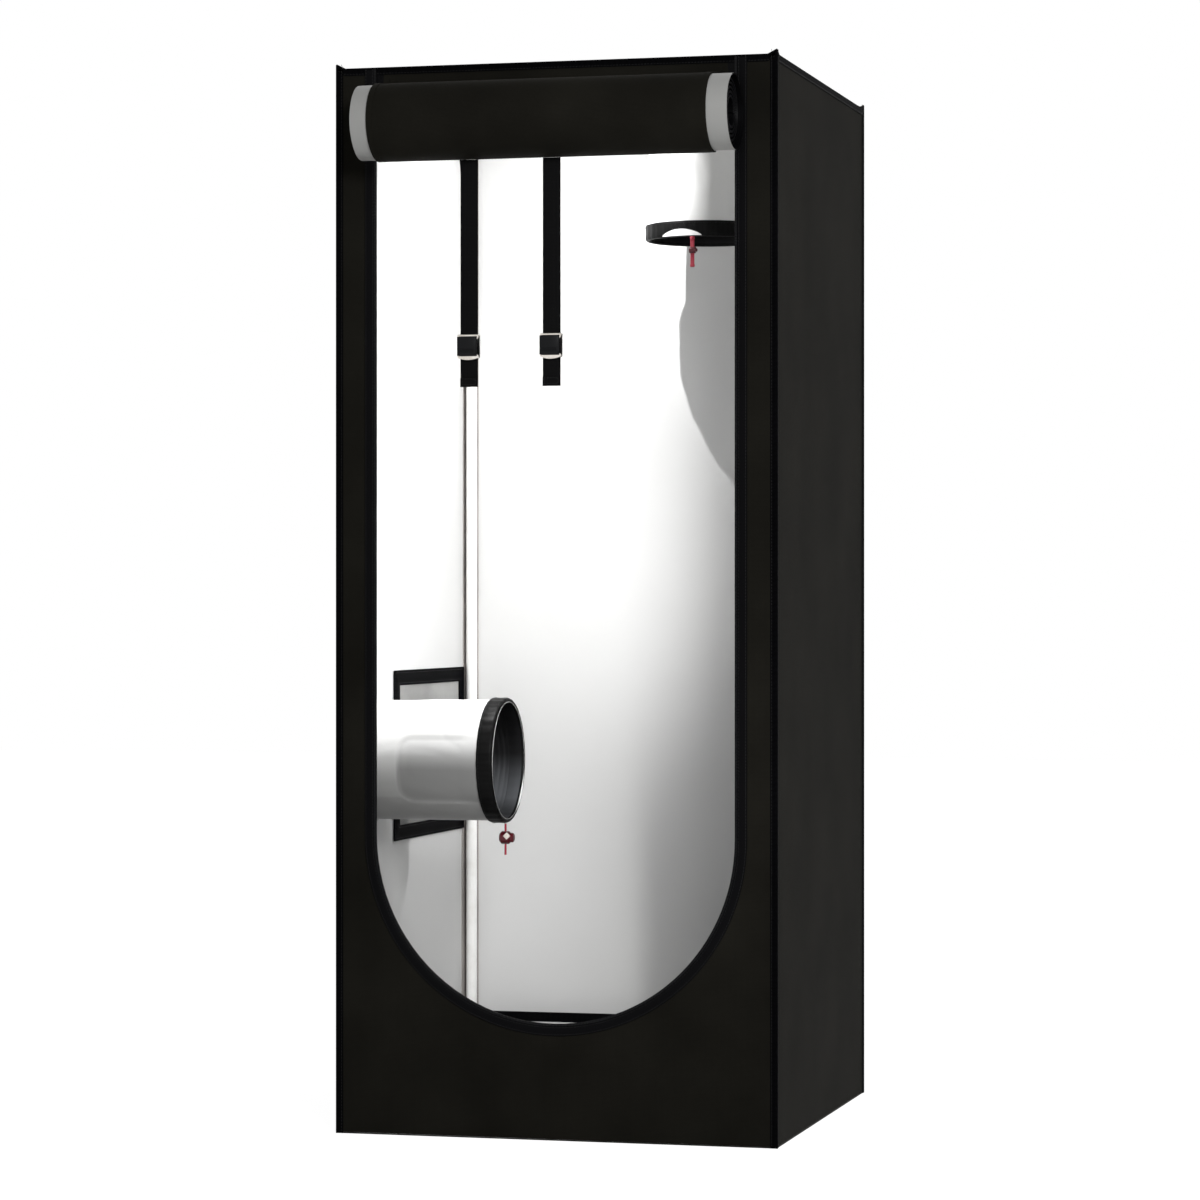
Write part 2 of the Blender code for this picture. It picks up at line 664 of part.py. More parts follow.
def door_roll(finish):
    """The door rolled outwards on itself, with its white lining outside, hung from the top."""
    rolled, tail = spiral_line(), tail_line()
    halves = [ROLL_HALF_LENGTH] * len(rolled) + [DOOR_TAIL_HALF] * len(tail)
    mesh = strip("door_roll", rolled + tail, halves, CLOTH)
    put("door_roll", mesh, finish, smooth=math.radians(35))


def tail_y(height):
    """How far forward the door's free length is, at a height above the roll."""
    line = tail_line()
    for (y0, z0), (y1, z1) in zip(line, line[1:]):
        if z0 <= height <= z1:
            return y0 + (y1 - y0) * (height - z0) / (z1 - z0)
    return line[-1][0]


def wrap_line():
    """The wrap's middle line in (y, z): from its seam over the roll's front to its lower hem."""
    layer = CLOTH / 2 + SEAT_GAP + WRAP / 2
    centre = Vector((ROLL_CENTRE_Y, ROLL_CENTRE_Z))
    seam = Vector((tail_y(WRAP_SEAM_Z) - layer, WRAP_SEAM_Z))
    crown = WRAP_SEAM_Z + WRAP_SEAM_HEIGHT
    to_seam = seam - centre
    radius = ROLL_RADIUS + SEAT_GAP
    lean = math.atan2(to_seam.y, to_seam.x) + math.acos(radius / to_seam.length)
    points = [(tail_y(crown) - layer, crown), (seam.x, seam.y)]
    for i in range(WRAP_STEPS + 1):
        turn = lean + (WRAP_END_ANGLE - lean) * i / WRAP_STEPS
        reach = spiral_radius(turn - math.tau) + layer
        points.append((centre.x + reach * math.cos(turn), centre.y + reach * math.sin(turn)))
    return points


def roll_wrap(finish):
    """The dark wrap that holds the roll, sewn in above it."""
    line = wrap_line()
    mesh = strip("roll_wrap", line, [WRAP_HALF_LENGTH] * len(line), WRAP)
    put("roll_wrap", mesh, finish, smooth=math.radians(35))


def strap_pivot():
    """Where a strap turns at the wrap's lower hem: its (y, z)."""
    y, z = wrap_line()[-1]
    drop = (WRAP / 2 + SEAT_GAP + STRAP / 2) / abs(math.sin(WRAP_END_ANGLE))
    return y, z - drop


def strap(side, x, webbing):
    """A webbing strap with a round top edge to turn on and a doubled end."""
    y, z = strap_pivot()
    half = STRAP / 2
    foot = STRAP_FOOT_Z - z
    fold = foot + STRAP_FOLD
    outline = [*arc((0, 0), half, 0, math.pi, CORNER_STEPS), (-half, fold),
               (-half - STRAP, fold - STRAP), (-half - STRAP, foot), (half, foot)]
    mesh = plate(f"strap_{side}", outline, -STRAP_WIDTH / 2, STRAP_WIDTH / 2, FACING_X)
    return put(f"strap_{side}", mesh, webbing, (x, y, z))


def buckle_width():
    """A buckle's inner and outer width."""
    inner = STRAP_WIDTH + 2 * STRAP_PLAY
    return inner, inner + 2 * BUCKLE_CHEEK


def buckle_outline(half, top):
    """A buckle seen from the front: square at its top, with a foot that bulges down."""
    radius = (half**2 + BUCKLE_FOOT_SAG**2) / (2 * BUCKLE_FOOT_SAG)
    lean = math.asin(half / radius)
    down = -math.pi / 2
    return [(half, top), (-half, top),
            *arc((0, radius - top), radius, down - lean, down + lean, SMALL_STEPS)]


def lever_pin():
    """The lever's pin in the buckle's own (y, z)."""
    return (-STRAP / 2 - SEAT_GAP - LEVER_RADIUS,
            BUCKLE_HEIGHT / 2 - BUCKLE_TOP_BAR - LEVER_TOP_GAP - LEVER_RADIUS)


def buckle(side, x, holder, metal, plastic):
    """A metal frame round the strap, and the cam lever on its pin."""
    inner, outer = buckle_width()
    pin_y, pin_z = lever_pin()
    slot = STRAP / 2 + SEAT_GAP
    top = BUCKLE_HEIGHT / 2
    front = pin_y - LEVER_RADIUS
    name = f"buckle_frame_{side}"
    block = plate(name, buckle_outline(outer / 2, top), front, slot + BUCKLE_BACK, FACING_Y)
    block = softened(block, BUCKLE_CHAMFER)
    far = top + CUT_OVERRUN
    channel = box("channel", (-inner / 2, -slot, -far), (inner / 2, slot, far))
    window = box("window", (-inner / 2, front - CUT_OVERRUN, BUCKLE_FOOT_BAR - top),
                 (inner / 2, 0, top - BUCKLE_TOP_BAR))
    wide = outer / 2 + CUT_OVERRUN
    eye = rod("eye", PIN_RADIUS + PIN_PLAY, -wide, wide, SMALL_STEPS,
              aimed((1, 0, 0), (0, pin_y, pin_z)))
    y, _ = strap_pivot()
    frame = put(name, cut(block, channel, window, eye), metal, (x, y, BUCKLE_Z), parent=holder)
    lever(side, (x, y + pin_y, BUCKLE_Z + pin_z), frame, plastic)


def lever(side, at, frame, plastic):
    """The cam lever: round about its pin, flat down to its rounded end."""
    inner, outer = buckle_width()
    half = inner / 2 - SEAT_GAP
    foot = LEVER_RADIUS - LEVER_LENGTH
    end = LEVER_RADIUS / 3
    outline = [*arc((0, 0), LEVER_RADIUS, 0, math.pi, SMALL_STEPS),
               *arc((end - LEVER_RADIUS, foot + end), end, math.pi, math.tau * 3 / 4, CORNER_STEPS),
               *arc((LEVER_RADIUS - end, foot + end), end, -math.pi / 2, 0, CORNER_STEPS)]
    block = plate(f"buckle_lever_{side}", outline, -half, half, FACING_X)
    pin = rod("pin", PIN_RADIUS, -outer / 2, outer / 2, SMALL_STEPS, aimed((1, 0, 0)))
    put(f"buckle_lever_{side}", joined(block, pin), plastic, at, parent=frame)


def sleeve_profile(length):
    """A sleeve from its flange on the wall to its free end, as (radius, height)."""
    wide = PORT_RADIUS + FLANGE_WIDTH
    return [(SLEEVE_BORE, 0), (wide, 0), (wide, SLEEVE), (PORT_RADIUS, SLEEVE),
            (PORT_RADIUS, length), (SLEEVE_BORE, length)]


def hem_profile():
    """A hem's channel over the sleeve's end, with its lip at height zero."""
    outer = PORT_RADIUS + SEAT_GAP
    inner = SLEEVE_BORE - SEAT_GAP
    return [(inner - HEM_INNER, 0), (outer + HEM_OUTER, 0), (outer + HEM_OUTER, -HEM_WIDTH),
            (outer, -HEM_WIDTH), (outer, -HEM_LIP), (inner, -HEM_LIP),
            (inner, -HEM_WIDTH), (inner - HEM_INNER, -HEM_WIDTH)]


def hem_radius():
    """The outside of a hem."""
    return PORT_RADIUS + SEAT_GAP + HEM_OUTER


def duct_port(where, root, mouth, axis, cord_at, looks):
    """A sleeve from root to mouth, its hem, and the drawstring with its lock."""
    lining, binding, cord_finish, lock_finish = looks
    start = Vector(root) + Vector(axis) * SEAT_GAP
    length = (Vector(mouth) - start).length - HEM_LIP - SEAT_GAP
    smooth = math.radians(40)
    sleeve = turned(f"{where}_sleeve", sleeve_profile(length), PORT_STEPS, aimed(axis, start))
    put(f"{where}_sleeve", sleeve, lining, smooth=smooth)
    hem = turned(f"{where}_sleeve_hem", hem_profile(), PORT_STEPS, aimed(axis, mouth))
    put(f"{where}_sleeve_hem", hem, binding, smooth=smooth)
    drawstring(where, cord_at, cord_finish)
    cord_lock(where, cord_at, lock_finish)


def drawstring(where, top, finish):
    """The cord end that hangs from the hem."""
    curve = bpy.data.curves.new(f"{where}_drawstring", "CURVE")
    curve.dimensions = "3D"
    curve.bevel_depth = CORD_DIAMETER / 2
    curve.bevel_resolution = 2
    curve.use_fill_caps = True
    run = curve.splines.new("POLY")
    run.points.add(CORD_SPAN_POINTS - 1)
    for i, point in enumerate(run.points):
        point.co = (0, 0, -CORD_LENGTH * i / (CORD_SPAN_POINTS - 1), 1)
    curve.materials.append(finish)
    cord = bpy.data.objects.new(f"{where}_drawstring", curve)
    cord.location = top
    bpy.context.scene.collection.objects.link(cord)


def cord_lock(where, top, finish):
    """A barrel that slides on the cord, and the button that its spring holds out along X."""
    middle = Vector(top) - Vector((0, 0, LOCK_DROP))
    half = LOCK_LENGTH / 2
    across = aimed((1, 0, 0))
    barrel = softened(rod(f"{where}_cord_lock", LOCK_RADIUS, -half, half, TUBE_STEPS, across),
                      LOCK_CORNER)
    well = rod("well", LOCK_RADIUS - LOCK_WALL, LOCK_FLOOR - half, half + CUT_OVERRUN,
               TUBE_STEPS, across)
    hole_radius = CORD_DIAMETER / 2 + CORD_PLAY
    far = LOCK_RADIUS + CUT_OVERRUN
    hole = rod("hole", hole_radius, -far, far, SMALL_STEPS)
    body = put(f"{where}_cord_lock", cut(barrel, well, hole), finish, middle,
               smooth=math.radians(30))
    radius = LOCK_RADIUS - LOCK_WALL - SEAT_GAP
    start = LOCK_FLOOR - half + BUTTON_SPRING_ROOM
    name = f"{where}_cord_lock_button"
    stem = softened(rod(name, radius, start, half + BUTTON_PROUD, TUBE_STEPS, across),
                    LOCK_CORNER / 2)
    slot = box("slot", (-hole_radius, -hole_radius, -far),
               (hole_radius + BUTTON_TRAVEL, hole_radius, far))
    put(name, cut(stem, slot), finish, middle, parent=body, smooth=math.radians(30))


def ducting(looks):
    """The side wall's sleeve, pointing into the tent, and the roof's, hanging down."""
    root = (-HALF_W + CLOTH, WALL_PORT_Y, WALL_PORT_Z)
    mouth = (WALL_PORT_MOUTH_X, WALL_PORT_Y, WALL_PORT_Z)
    low = WALL_PORT_Z - hem_radius() - SEAT_GAP
    cord_at = (WALL_PORT_MOUTH_X - CORD_INSET, WALL_PORT_Y, low)
    duct_port("wall", root, mouth, (1, 0, 0), cord_at, looks)
    root = (ROOF_PORT_X, ROOF_PORT_Y, TENT_HEIGHT - CLOTH)
    mouth = (ROOF_PORT_X, ROOF_PORT_Y, ROOF_PORT_MOUTH_Z)
    ring = hem_radius() - HEM_OUTER / 2
    cord_at = (ROOF_PORT_X, ROOF_PORT_Y - ring, ROOF_PORT_MOUTH_Z - SEAT_GAP)
    duct_port("roof", root, mouth, (0, 0, -1), cord_at, looks)


def vent(binding, net_finish, flap_finish):
    """The vent's net and frame inside the left wall, and the flap that shuts it outside."""
    low, high = vent_window()
    face = -HALF_W + CLOTH + SEAT_GAP
    wide = (high[0] - low[0] + 2 * NET_EDGE) / NET_COLUMNS
    tall = (high[1] - low[1] + 2 * NET_EDGE) / NET_ROWS
    start = (low[0] - NET_EDGE, low[1] - NET_EDGE)
    end = (high[0] + NET_EDGE, high[1] + NET_EDGE)
    rim = NET_STRAND / 2
    gaps = []
    for i in range(NET_COLUMNS):
        for j in range(NET_ROWS):
            corner = (start[0] + i * wide + rim, start[1] + j * tall + rim)
            gaps.append(rectangle(corner, (corner[0] + wide - 2 * rim, corner[1] + tall - 2 * rim)))
    edge = rectangle((start[0] - rim, start[1] - rim), (end[0] + rim, end[1] + rim))
    put("vent_mesh", plate("vent_mesh", edge, face, face + NET, FACING_X, gaps), net_finish)
    inner = face + NET + SEAT_GAP
    outline = rectangle((VENT_FRONT_Y, VENT_FOOT_Z), (VENT_BACK_Y, VENT_TOP_Z))
    window = rectangle(low, high)
    frame = plate("vent_frame", outline, inner, inner + VENT_FRAME, FACING_X, (window,))
    put("vent_frame", frame, binding)
    vent_flap(flap_finish)


def vent_flap(finish):
    """The outer flap, which turns on its top edge."""
    hinge = (-HALF_W - SEAT_GAP - CLOTH / 2, 0, VENT_TOP_Z + FLAP_HINGE_RISE)
    foot = VENT_FOOT_Z - FLAP_MARGIN - hinge[2]
    outline = [*arc((0, 0), CLOTH / 2, 0, math.pi, CORNER_STEPS), (-CLOTH / 2, foot),
               (CLOTH / 2, foot)]
    mesh = plate("vent_flap", outline, VENT_FRONT_Y - FLAP_MARGIN, VENT_BACK_Y, FACING_Y)
    put("vent_flap", mesh, finish, hinge)


def tray_halves():
    """The tray wall's outer half width and half depth, inside the corner hubs."""
    inset = FRAME_INSET + HUB_SIZE / 2 + TRAY_SIDE_GAP + TRAY_HEM + SEAT_GAP
    return HALF_W - inset, HALF_D - inset


def square_ring(name, section, half_w, half_d):
    """A mitred square ring from a closed section of (outwards, height) points."""
    rings = []
    for sx, sy in ((1, 1), (-1, 1), (-1, -1), (1, -1)):
        rings.append([(sx * (half_w + out), sy * (half_d + out), z) for out, z in section])
    return loft(name, rings, closed=True)


def floor_tray(finish, binding):
    """The lift-out tray and the hem over its rim."""
    half_w, half_d = tray_halves()
    foot = WALL_FOOT
    top = foot + TRAY_HEIGHT - TRAY_HEM - SEAT_GAP
    outer = box("floor_tray", (-half_w, -half_d, foot), (half_w, half_d, top))
    inside = box("inside", (TRAY - half_w, TRAY - half_d, foot + TRAY),
                 (half_w - TRAY, half_d - TRAY, top + CUT_OVERRUN))
    put("floor_tray", cut(outer, inside), finish)
    crown = foot + TRAY_HEIGHT
    low = crown - TRAY_HEM_HEIGHT
    out, back = SEAT_GAP, -TRAY - SEAT_GAP
    section = [(out, low), (out + TRAY_HEM, low), (out + TRAY_HEM, crown),
               (back - TRAY_HEM, crown), (back - TRAY_HEM, low), (back, low),
               (back, top + SEAT_GAP), (out, top + SEAT_GAP)]
    put("tray_hem", square_ring("tray_hem", section, half_w, half_d), binding)


def main():
    """Builds the tent."""
    clear_scene()
    canvas = material("black_canvas", (0.009, 0.009, 0.008), 0.72)
    binding = material("black_binding", (0.004, 0.004, 0.004), 0.6)
    webbing = material("black_webbing", (0.006, 0.006, 0.006), 0.75)
    lining = material("white_lining", (0.86, 0.86, 0.86), 0.35)
    steel = material("white_coated_steel", (0.82, 0.82, 0.82), 0.3)
    plastic = material("black_plastic", (0.012, 0.012, 0.012), 0.4)
    buckle_metal = material("buckle_steel", (0.72, 0.71, 0.69), 0.25, 1.0)
    zip_metal = material("black_zip_metal", (0.02, 0.02, 0.02), 0.35, 1.0)
    cord_red = material("red_cord", (0.40, 0.03, 0.06), 0.7)
    lock_red = material("maroon_plastic", (0.05, 0.006, 0.008), 0.35)
    net = material("grey_net", (0.35, 0.35, 0.35), 0.6)

    frame_tubes(steel)
    corners(plastic)
    hanging_bars(steel, plastic)
    floor_panel(canvas)
    front_panel(canvas)
    back_panel(canvas)
    side_panels(canvas)
    roof_panel(canvas)
    zip_track(binding)
    zip_sliders(zip_metal)
    door_roll(lining)
    roll_wrap(canvas)
    for side, x in (("left", STRAP_LEFT_X), ("right", STRAP_RIGHT_X)):
        holder = strap(side, x, webbing)
        buckle(side, x, holder, buckle_metal, plastic)
    ducting((lining, binding, cord_red, lock_red))
    vent(binding, net, canvas)
    floor_tray(lining, binding)


main()
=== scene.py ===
"""Looks of the indoor grow tent.

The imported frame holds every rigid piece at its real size. This script dresses it: canvas walls
with their white lining, the rolled door and its wrap, webbing, duct sleeves, net, tray and
drawstrings, with a finish on every piece. Lengths are in metres unless a name ends in _mm. +Z is
up, and the door faces -Y.
"""

from __future__ import annotations

import json
import logging
import math
from collections.abc import Callable, Sequence
from dataclasses import dataclass
from enum import Enum
from functools import cache
from typing import Any, ClassVar

import bmesh
import bpy
from bmesh.types import BMesh
from bpy.types import Material, Mesh, Node, NodeSocket, NodeTree, Object
from mathutils import Matrix, Vector, noise

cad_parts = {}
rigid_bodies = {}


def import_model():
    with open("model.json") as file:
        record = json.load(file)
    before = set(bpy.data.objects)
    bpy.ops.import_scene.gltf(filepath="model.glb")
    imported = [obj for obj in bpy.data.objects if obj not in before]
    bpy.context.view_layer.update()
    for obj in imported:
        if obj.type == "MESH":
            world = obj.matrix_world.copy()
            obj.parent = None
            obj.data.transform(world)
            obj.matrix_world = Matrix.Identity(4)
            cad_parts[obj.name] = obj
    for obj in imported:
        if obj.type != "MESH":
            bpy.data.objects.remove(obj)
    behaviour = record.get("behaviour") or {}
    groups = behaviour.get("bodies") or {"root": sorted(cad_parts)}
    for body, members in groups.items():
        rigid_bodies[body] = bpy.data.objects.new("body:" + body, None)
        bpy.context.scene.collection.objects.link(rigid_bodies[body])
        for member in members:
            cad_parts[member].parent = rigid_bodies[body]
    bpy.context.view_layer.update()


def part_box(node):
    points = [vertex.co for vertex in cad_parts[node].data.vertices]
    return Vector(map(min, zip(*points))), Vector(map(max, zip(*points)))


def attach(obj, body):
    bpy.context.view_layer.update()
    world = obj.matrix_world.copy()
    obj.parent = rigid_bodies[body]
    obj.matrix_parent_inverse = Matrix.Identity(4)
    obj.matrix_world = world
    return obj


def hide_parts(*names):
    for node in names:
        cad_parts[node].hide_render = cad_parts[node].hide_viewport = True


LOG = logging.getLogger("grow_tent")
UV_NAME = "metres"
MM = 0.001
# The cloth with its lining, and the height and length of the roof's pushed-up corner tips.
CLOTH = 0.0015
TIP_RISE = 0.006
TIP_RUN = 0.012
# The numbers of a Mix node's colour sockets, which share their names with its other sockets.
MIX_A, MIX_B, MIX_OUT = 6, 7, 2

# For a wall that faces along a frame axis, the axes that run across it, up it and through it.
WAYS = {0: (1, 2, 0), 1: (0, 2, 1), 2: (0, 1, 2)}

Colour = tuple[float, float, float, float]
Flat = tuple[float, float]
Triple = tuple[float, float, float]


def linear(colour: str) -> Colour:
    """Turns an sRGB hex colour to linear values.

    Args:
        colour: Six hex digits after a hash sign.

    Returns:
        Red, green, blue and an alpha of one.
    """
    parts = [int(colour[i : i + 2], 16) / 255 for i in (1, 3, 5)]
    red, green, blue = (
        part / 12.92 if part <= 0.04045 else ((part + 0.055) / 1.055) ** 2.4 for part in parts
    )
    return (red, green, blue, 1.0)


def add_node(
    tree: NodeTree,
    kind: str,
    links: dict[str | int, NodeSocket] | None = None,
    values: dict[str | int, Any] | None = None,
    **settings: Any,
) -> Node:
    """Adds a node to a tree.

    Args:
        tree: The tree to add to.
        kind: Blender's name for the node's type.
        links: The sockets that feed the node's inputs, by input name or number.
        values: The fixed values of the node's inputs, by input name or number.
        **settings: The node's own properties.

    Returns:
        The new node.
    """
    node = tree.nodes.new(kind)
    for name, value in settings.items():
        setattr(node, name, value)
    for name, value in (values or {}).items():
        node.inputs[name].default_value = value
    for name, socket in (links or {}).items():
        tree.links.new(socket, node.inputs[name])
    return node


@cache
def node_box(node: str) -> tuple[Vector, Vector]:
    """Looks up a frame node.

    Args:
        node: The node's name.

    Returns:
        Its box's low and high corners.
    """
    low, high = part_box(node)
    return Vector(low), Vector(high)


def smooth_step(share: float) -> float:
    """Eases a share from 0 to 1, and holds it there outside that range."""
    share = min(max(share, 0.0), 1.0)
    return share * share * (3 - 2 * share)


class Finish:
    """A surface finish, made into a material the first time that it is asked for."""

    made: ClassVar[dict[str, Material]] = {}
    name: str

    def material(self) -> Material:
        """Makes the finish's one material, or finds it.

        Returns:
            The material.
        """
        if self.name not in Finish.made:
            made = bpy.data.materials.new(self.name)
            made.use_nodes = True
            self.mix(made.node_tree, made.node_tree.nodes["Principled BSDF"])
            Finish.made[self.name] = made
        return Finish.made[self.name]

    def mix(self, tree: NodeTree, shader: Node) -> None:
        """Writes the finish's nodes.

        Args:
            tree: The material's node tree.
            shader: Its Principled shader.
        """
        raise NotImplementedError


@dataclass(frozen=True)
class WovenCloth(Finish):
    """Plain-woven polyester under a thin coat, as tent canvas, tape and webbing are.

    A real thread is 0.4 to 0.6 mm wide, which doesn't show from two paces, so the weave is
    drawn a little coarser. The crowns of the threads are painted lighter, a painted sheen of the
    coat, and the hollows between them darker, a painted shade.
    """

    name: str
    crown: str
    hollow: str
    pitch_mm: float
    roughness: float
    relief_mm: float
    shine: float
    cloud: float = 0.25
    rib: float = 1.0

    def mix(self, tree: NodeTree, shader: Node) -> None:
        """Writes over-and-under threads on the UV map, and a slow change of tone.

        Args:
            tree: The material's node tree.
            shader: Its Principled shader.
        """
        place = add_node(tree, "ShaderNodeUVMap", uv_map=UV_NAME)
        across = add_node(
            tree, "ShaderNodeMapping", {"Vector": place.outputs["UV"]}, {"Scale": (1, self.rib, 1)}
        )
        spot = across.outputs["Vector"]
        bands = math.tau / (20 * self.pitch_mm * MM)
        warp = add_node(tree, "ShaderNodeTexWave", {"Vector": spot}, {"Scale": bands})
        weft = add_node(
            tree, "ShaderNodeTexWave", {"Vector": spot}, {"Scale": bands}, bands_direction="Y"
        )
        over = add_node(
            tree, "ShaderNodeTexChecker", {"Vector": spot}, {"Scale": 1 / (self.pitch_mm * MM)}
        )
        weave = add_node(
            tree,
            "ShaderNodeMix",
            {"Factor": over.outputs["Fac"], "A": warp.outputs["Fac"], "B": weft.outputs["Fac"]},
        )
        clouds = add_node(
            tree,
            "ShaderNodeTexNoise",
            {"Vector": add_node(tree, "ShaderNodeTexCoord").outputs["Object"]},
            {"Scale": 7.0, "Detail": 4.0},
        )
        slow = add_node(
            tree,
            "ShaderNodeMapRange",
            {"Value": clouds.outputs["Fac"]},
            {"From Min": 0.3, "From Max": 0.7, "To Min": 1 - self.cloud, "To Max": 1 + self.cloud},
        )
        # Painted sheen and shade: lighter colour on the threads' crowns, darker in the hollows
        # between them.
        threads = add_node(
            tree,
            "ShaderNodeMix",
            {"Factor": weave.outputs[0]},
            {MIX_A: linear(self.hollow), MIX_B: linear(self.crown)},
            data_type="RGBA",
        )
        tone = add_node(
            tree,
            "ShaderNodeVectorMath",
            {0: threads.outputs[MIX_OUT], "Scale": slow.outputs["Result"]},
            operation="SCALE",
        )
        bump = add_node(
            tree,
            "ShaderNodeBump",
            {"Height": weave.outputs[0]},
            {"Strength": 0.6, "Distance": self.relief_mm * MM},
        )
        tree.links.new(tone.outputs["Vector"], shader.inputs["Base Color"])
        tree.links.new(bump.outputs["Normal"], shader.inputs["Normal"])
        shader.inputs["Roughness"].default_value = self.roughness
        shader.inputs["Specular IOR Level"].default_value = self.shine


@dataclass(frozen=True)
class ReflectiveLining(Finish):
    """Film bonded to the cloth: white to throw the light back, or dark behind a sleeve.

    It is smooth with a faint pebbling from the cloth behind it, so lights show in it as soft
    patches with no clear edge. An attribute of the mesh can paint shade into its colour.
    """

    name: str
    tint: str
    soil_and_shade: str
    roughness: float
    pebble_mm: float
    relief_mm: float
    shine: float = 0.3
    handled: str = ""

    def mix(self, tree: NodeTree, shader: Node) -> None:
        """Writes the pebbling, the slow change of tone and the gloss.

        Args:
            tree: The material's node tree.
            shader: Its Principled shader.
        """
        spot = add_node(tree, "ShaderNodeTexCoord").outputs["Object"]
        pebbles = add_node(
            tree,
            "ShaderNodeTexNoise",
            {"Vector": spot},
            {"Scale": 1 / (self.pebble_mm * MM), "Detail": 2.0},
        )
        clouds = add_node(
            tree, "ShaderNodeTexNoise", {"Vector": spot}, {"Scale": 3.0, "Detail": 3.0}
        )
        share = clouds.outputs["Fac"]
        # Painted shade: where the attribute is set, the colour is mixed towards the darker one.
        if self.handled:
            shade_mark = add_node(tree, "ShaderNodeAttribute", attribute_name=self.handled)
            faint = add_node(tree, "ShaderNodeMath", {0: share}, {1: 0.08}, operation="MULTIPLY")
            both = {0: shade_mark.outputs["Fac"], 1: faint.outputs[0]}
            share = add_node(tree, "ShaderNodeMath", both, use_clamp=True).outputs[0]
        tone = add_node(
            tree,
            "ShaderNodeMix",
            {"Factor": share},
            {MIX_A: linear(self.tint), MIX_B: linear(self.soil_and_shade)},
            data_type="RGBA",
        )
        bump = add_node(
            tree,
            "ShaderNodeBump",
            {"Height": pebbles.outputs["Fac"]},
            {"Strength": 0.4, "Distance": self.relief_mm * MM},
        )
        tree.links.new(tone.outputs[MIX_OUT], shader.inputs["Base Color"])
        tree.links.new(bump.outputs["Normal"], shader.inputs["Normal"])
        shader.inputs["Roughness"].default_value = self.roughness
        shader.inputs["Specular IOR Level"].default_value = self.shine


@dataclass(frozen=True)
class GrainedSolid(Finish):
    """Moulded plastic, powder coat or lacquer: one colour with a fine grain in its surface."""

    name: str
    tint: str
    worn: str
    roughness: float
    grain_mm: float
    relief_mm: float
    metallic: float = 0.0
    shine: float = 0.5
    coat: float = 0.0
    stretch: Triple = (1.0, 1.0, 1.0)

    def mix(self, tree: NodeTree, shader: Node) -> None:
        """Writes the grain and a slight change of tone and gloss with it.

        Args:
            tree: The material's node tree.
            shader: Its Principled shader.
        """
        spot = add_node(tree, "ShaderNodeTexCoord").outputs["Object"]
        drawn = add_node(tree, "ShaderNodeMapping", {"Vector": spot}, {"Scale": self.stretch})
        grain = add_node(
            tree,
            "ShaderNodeTexNoise",
            {"Vector": drawn.outputs["Vector"]},
            {"Scale": 1 / (self.grain_mm * MM), "Detail": 3.0},
        )
        wear = add_node(
            tree, "ShaderNodeTexNoise", {"Vector": spot}, {"Scale": 60.0, "Detail": 5.0}
        )
        worn = add_node(
            tree,
            "ShaderNodeMapRange",
            {"Value": wear.outputs["Fac"]},
            {"From Min": 0.45, "From Max": 0.75},
        )
        tone = add_node(
            tree,
            "ShaderNodeMix",
            {"Factor": worn.outputs["Result"]},
            {MIX_A: linear(self.tint), MIX_B: linear(self.worn)},
            data_type="RGBA",
        )
        gloss = add_node(
            tree,
            "ShaderNodeMapRange",
            {"Value": grain.outputs["Fac"]},
            {"To Min": self.roughness * 0.85, "To Max": self.roughness * 1.15},
        )
        bump = add_node(
            tree,
            "ShaderNodeBump",
            {"Height": grain.outputs["Fac"]},
            {"Strength": 0.5, "Distance": self.relief_mm * MM},
        )
        tree.links.new(tone.outputs[MIX_OUT], shader.inputs["Base Color"])
        tree.links.new(gloss.outputs["Result"], shader.inputs["Roughness"])
        tree.links.new(bump.outputs["Normal"], shader.inputs["Normal"])
        shader.inputs["Metallic"].default_value = self.metallic
        shader.inputs["Specular IOR Level"].default_value = self.shine
        shader.inputs["Coat Weight"].default_value = self.coat


@dataclass(frozen=True)
class BraidedCord(Finish):
    """Braided polyester cord: strands that cross over each other at a slant, in two reds."""

    name: str
    strand: str
    gap: str
    strand_mm: float
    roughness: float

    def mix(self, tree: NodeTree, shader: Node) -> None:
        """Writes two sets of slanting strands on the UV map.

        Args:
            tree: The material's node tree.
            shader: Its Principled shader.
        """
        place = add_node(tree, "ShaderNodeUVMap", uv_map=UV_NAME)
        bands = math.tau / (20 * self.strand_mm * MM)
        heights = []
        for turn in (math.pi / 4, -math.pi / 4):
            slant = add_node(
                tree,
                "ShaderNodeMapping",
                {"Vector": place.outputs["UV"]},
                {"Rotation": (0, 0, turn)},
            )
            wave = add_node(
                tree, "ShaderNodeTexWave", {"Vector": slant.outputs["Vector"]}, {"Scale": bands}
            )
            heights.append(wave.outputs["Fac"])
        braid = add_node(
            tree, "ShaderNodeMath", {0: heights[0], 1: heights[1]}, operation="MULTIPLY"
        )
        tone = add_node(
            tree,
            "ShaderNodeMix",
            {"Factor": braid.outputs[0]},
            {MIX_A: linear(self.gap), MIX_B: linear(self.strand)},
            data_type="RGBA",
        )
        bump = add_node(
            tree,
            "ShaderNodeBump",
            {"Height": braid.outputs[0]},
            {"Strength": 0.8, "Distance": self.strand_mm * MM / 3},
        )
        tree.links.new(tone.outputs[MIX_OUT], shader.inputs["Base Color"])
        tree.links.new(bump.outputs["Normal"], shader.inputs["Normal"])
        shader.inputs["Roughness"].default_value = self.roughness


# Warm near-black with a grain that just shows: it reads as coated cloth and not as card.
CANVAS = WovenCloth("coated_oxford_canvas", "#21201c", "#171613", 1.6, 0.6, 0.12, 0.008)
# Colder and darker than the canvas, with cross ribs, so that every edge is drawn with a line.
EDGE_TAPE = WovenCloth("ribbed_edge_tape", "#09090b", "#040405", 1.2, 0.6, 0.15, 0.01, rib=0.15)
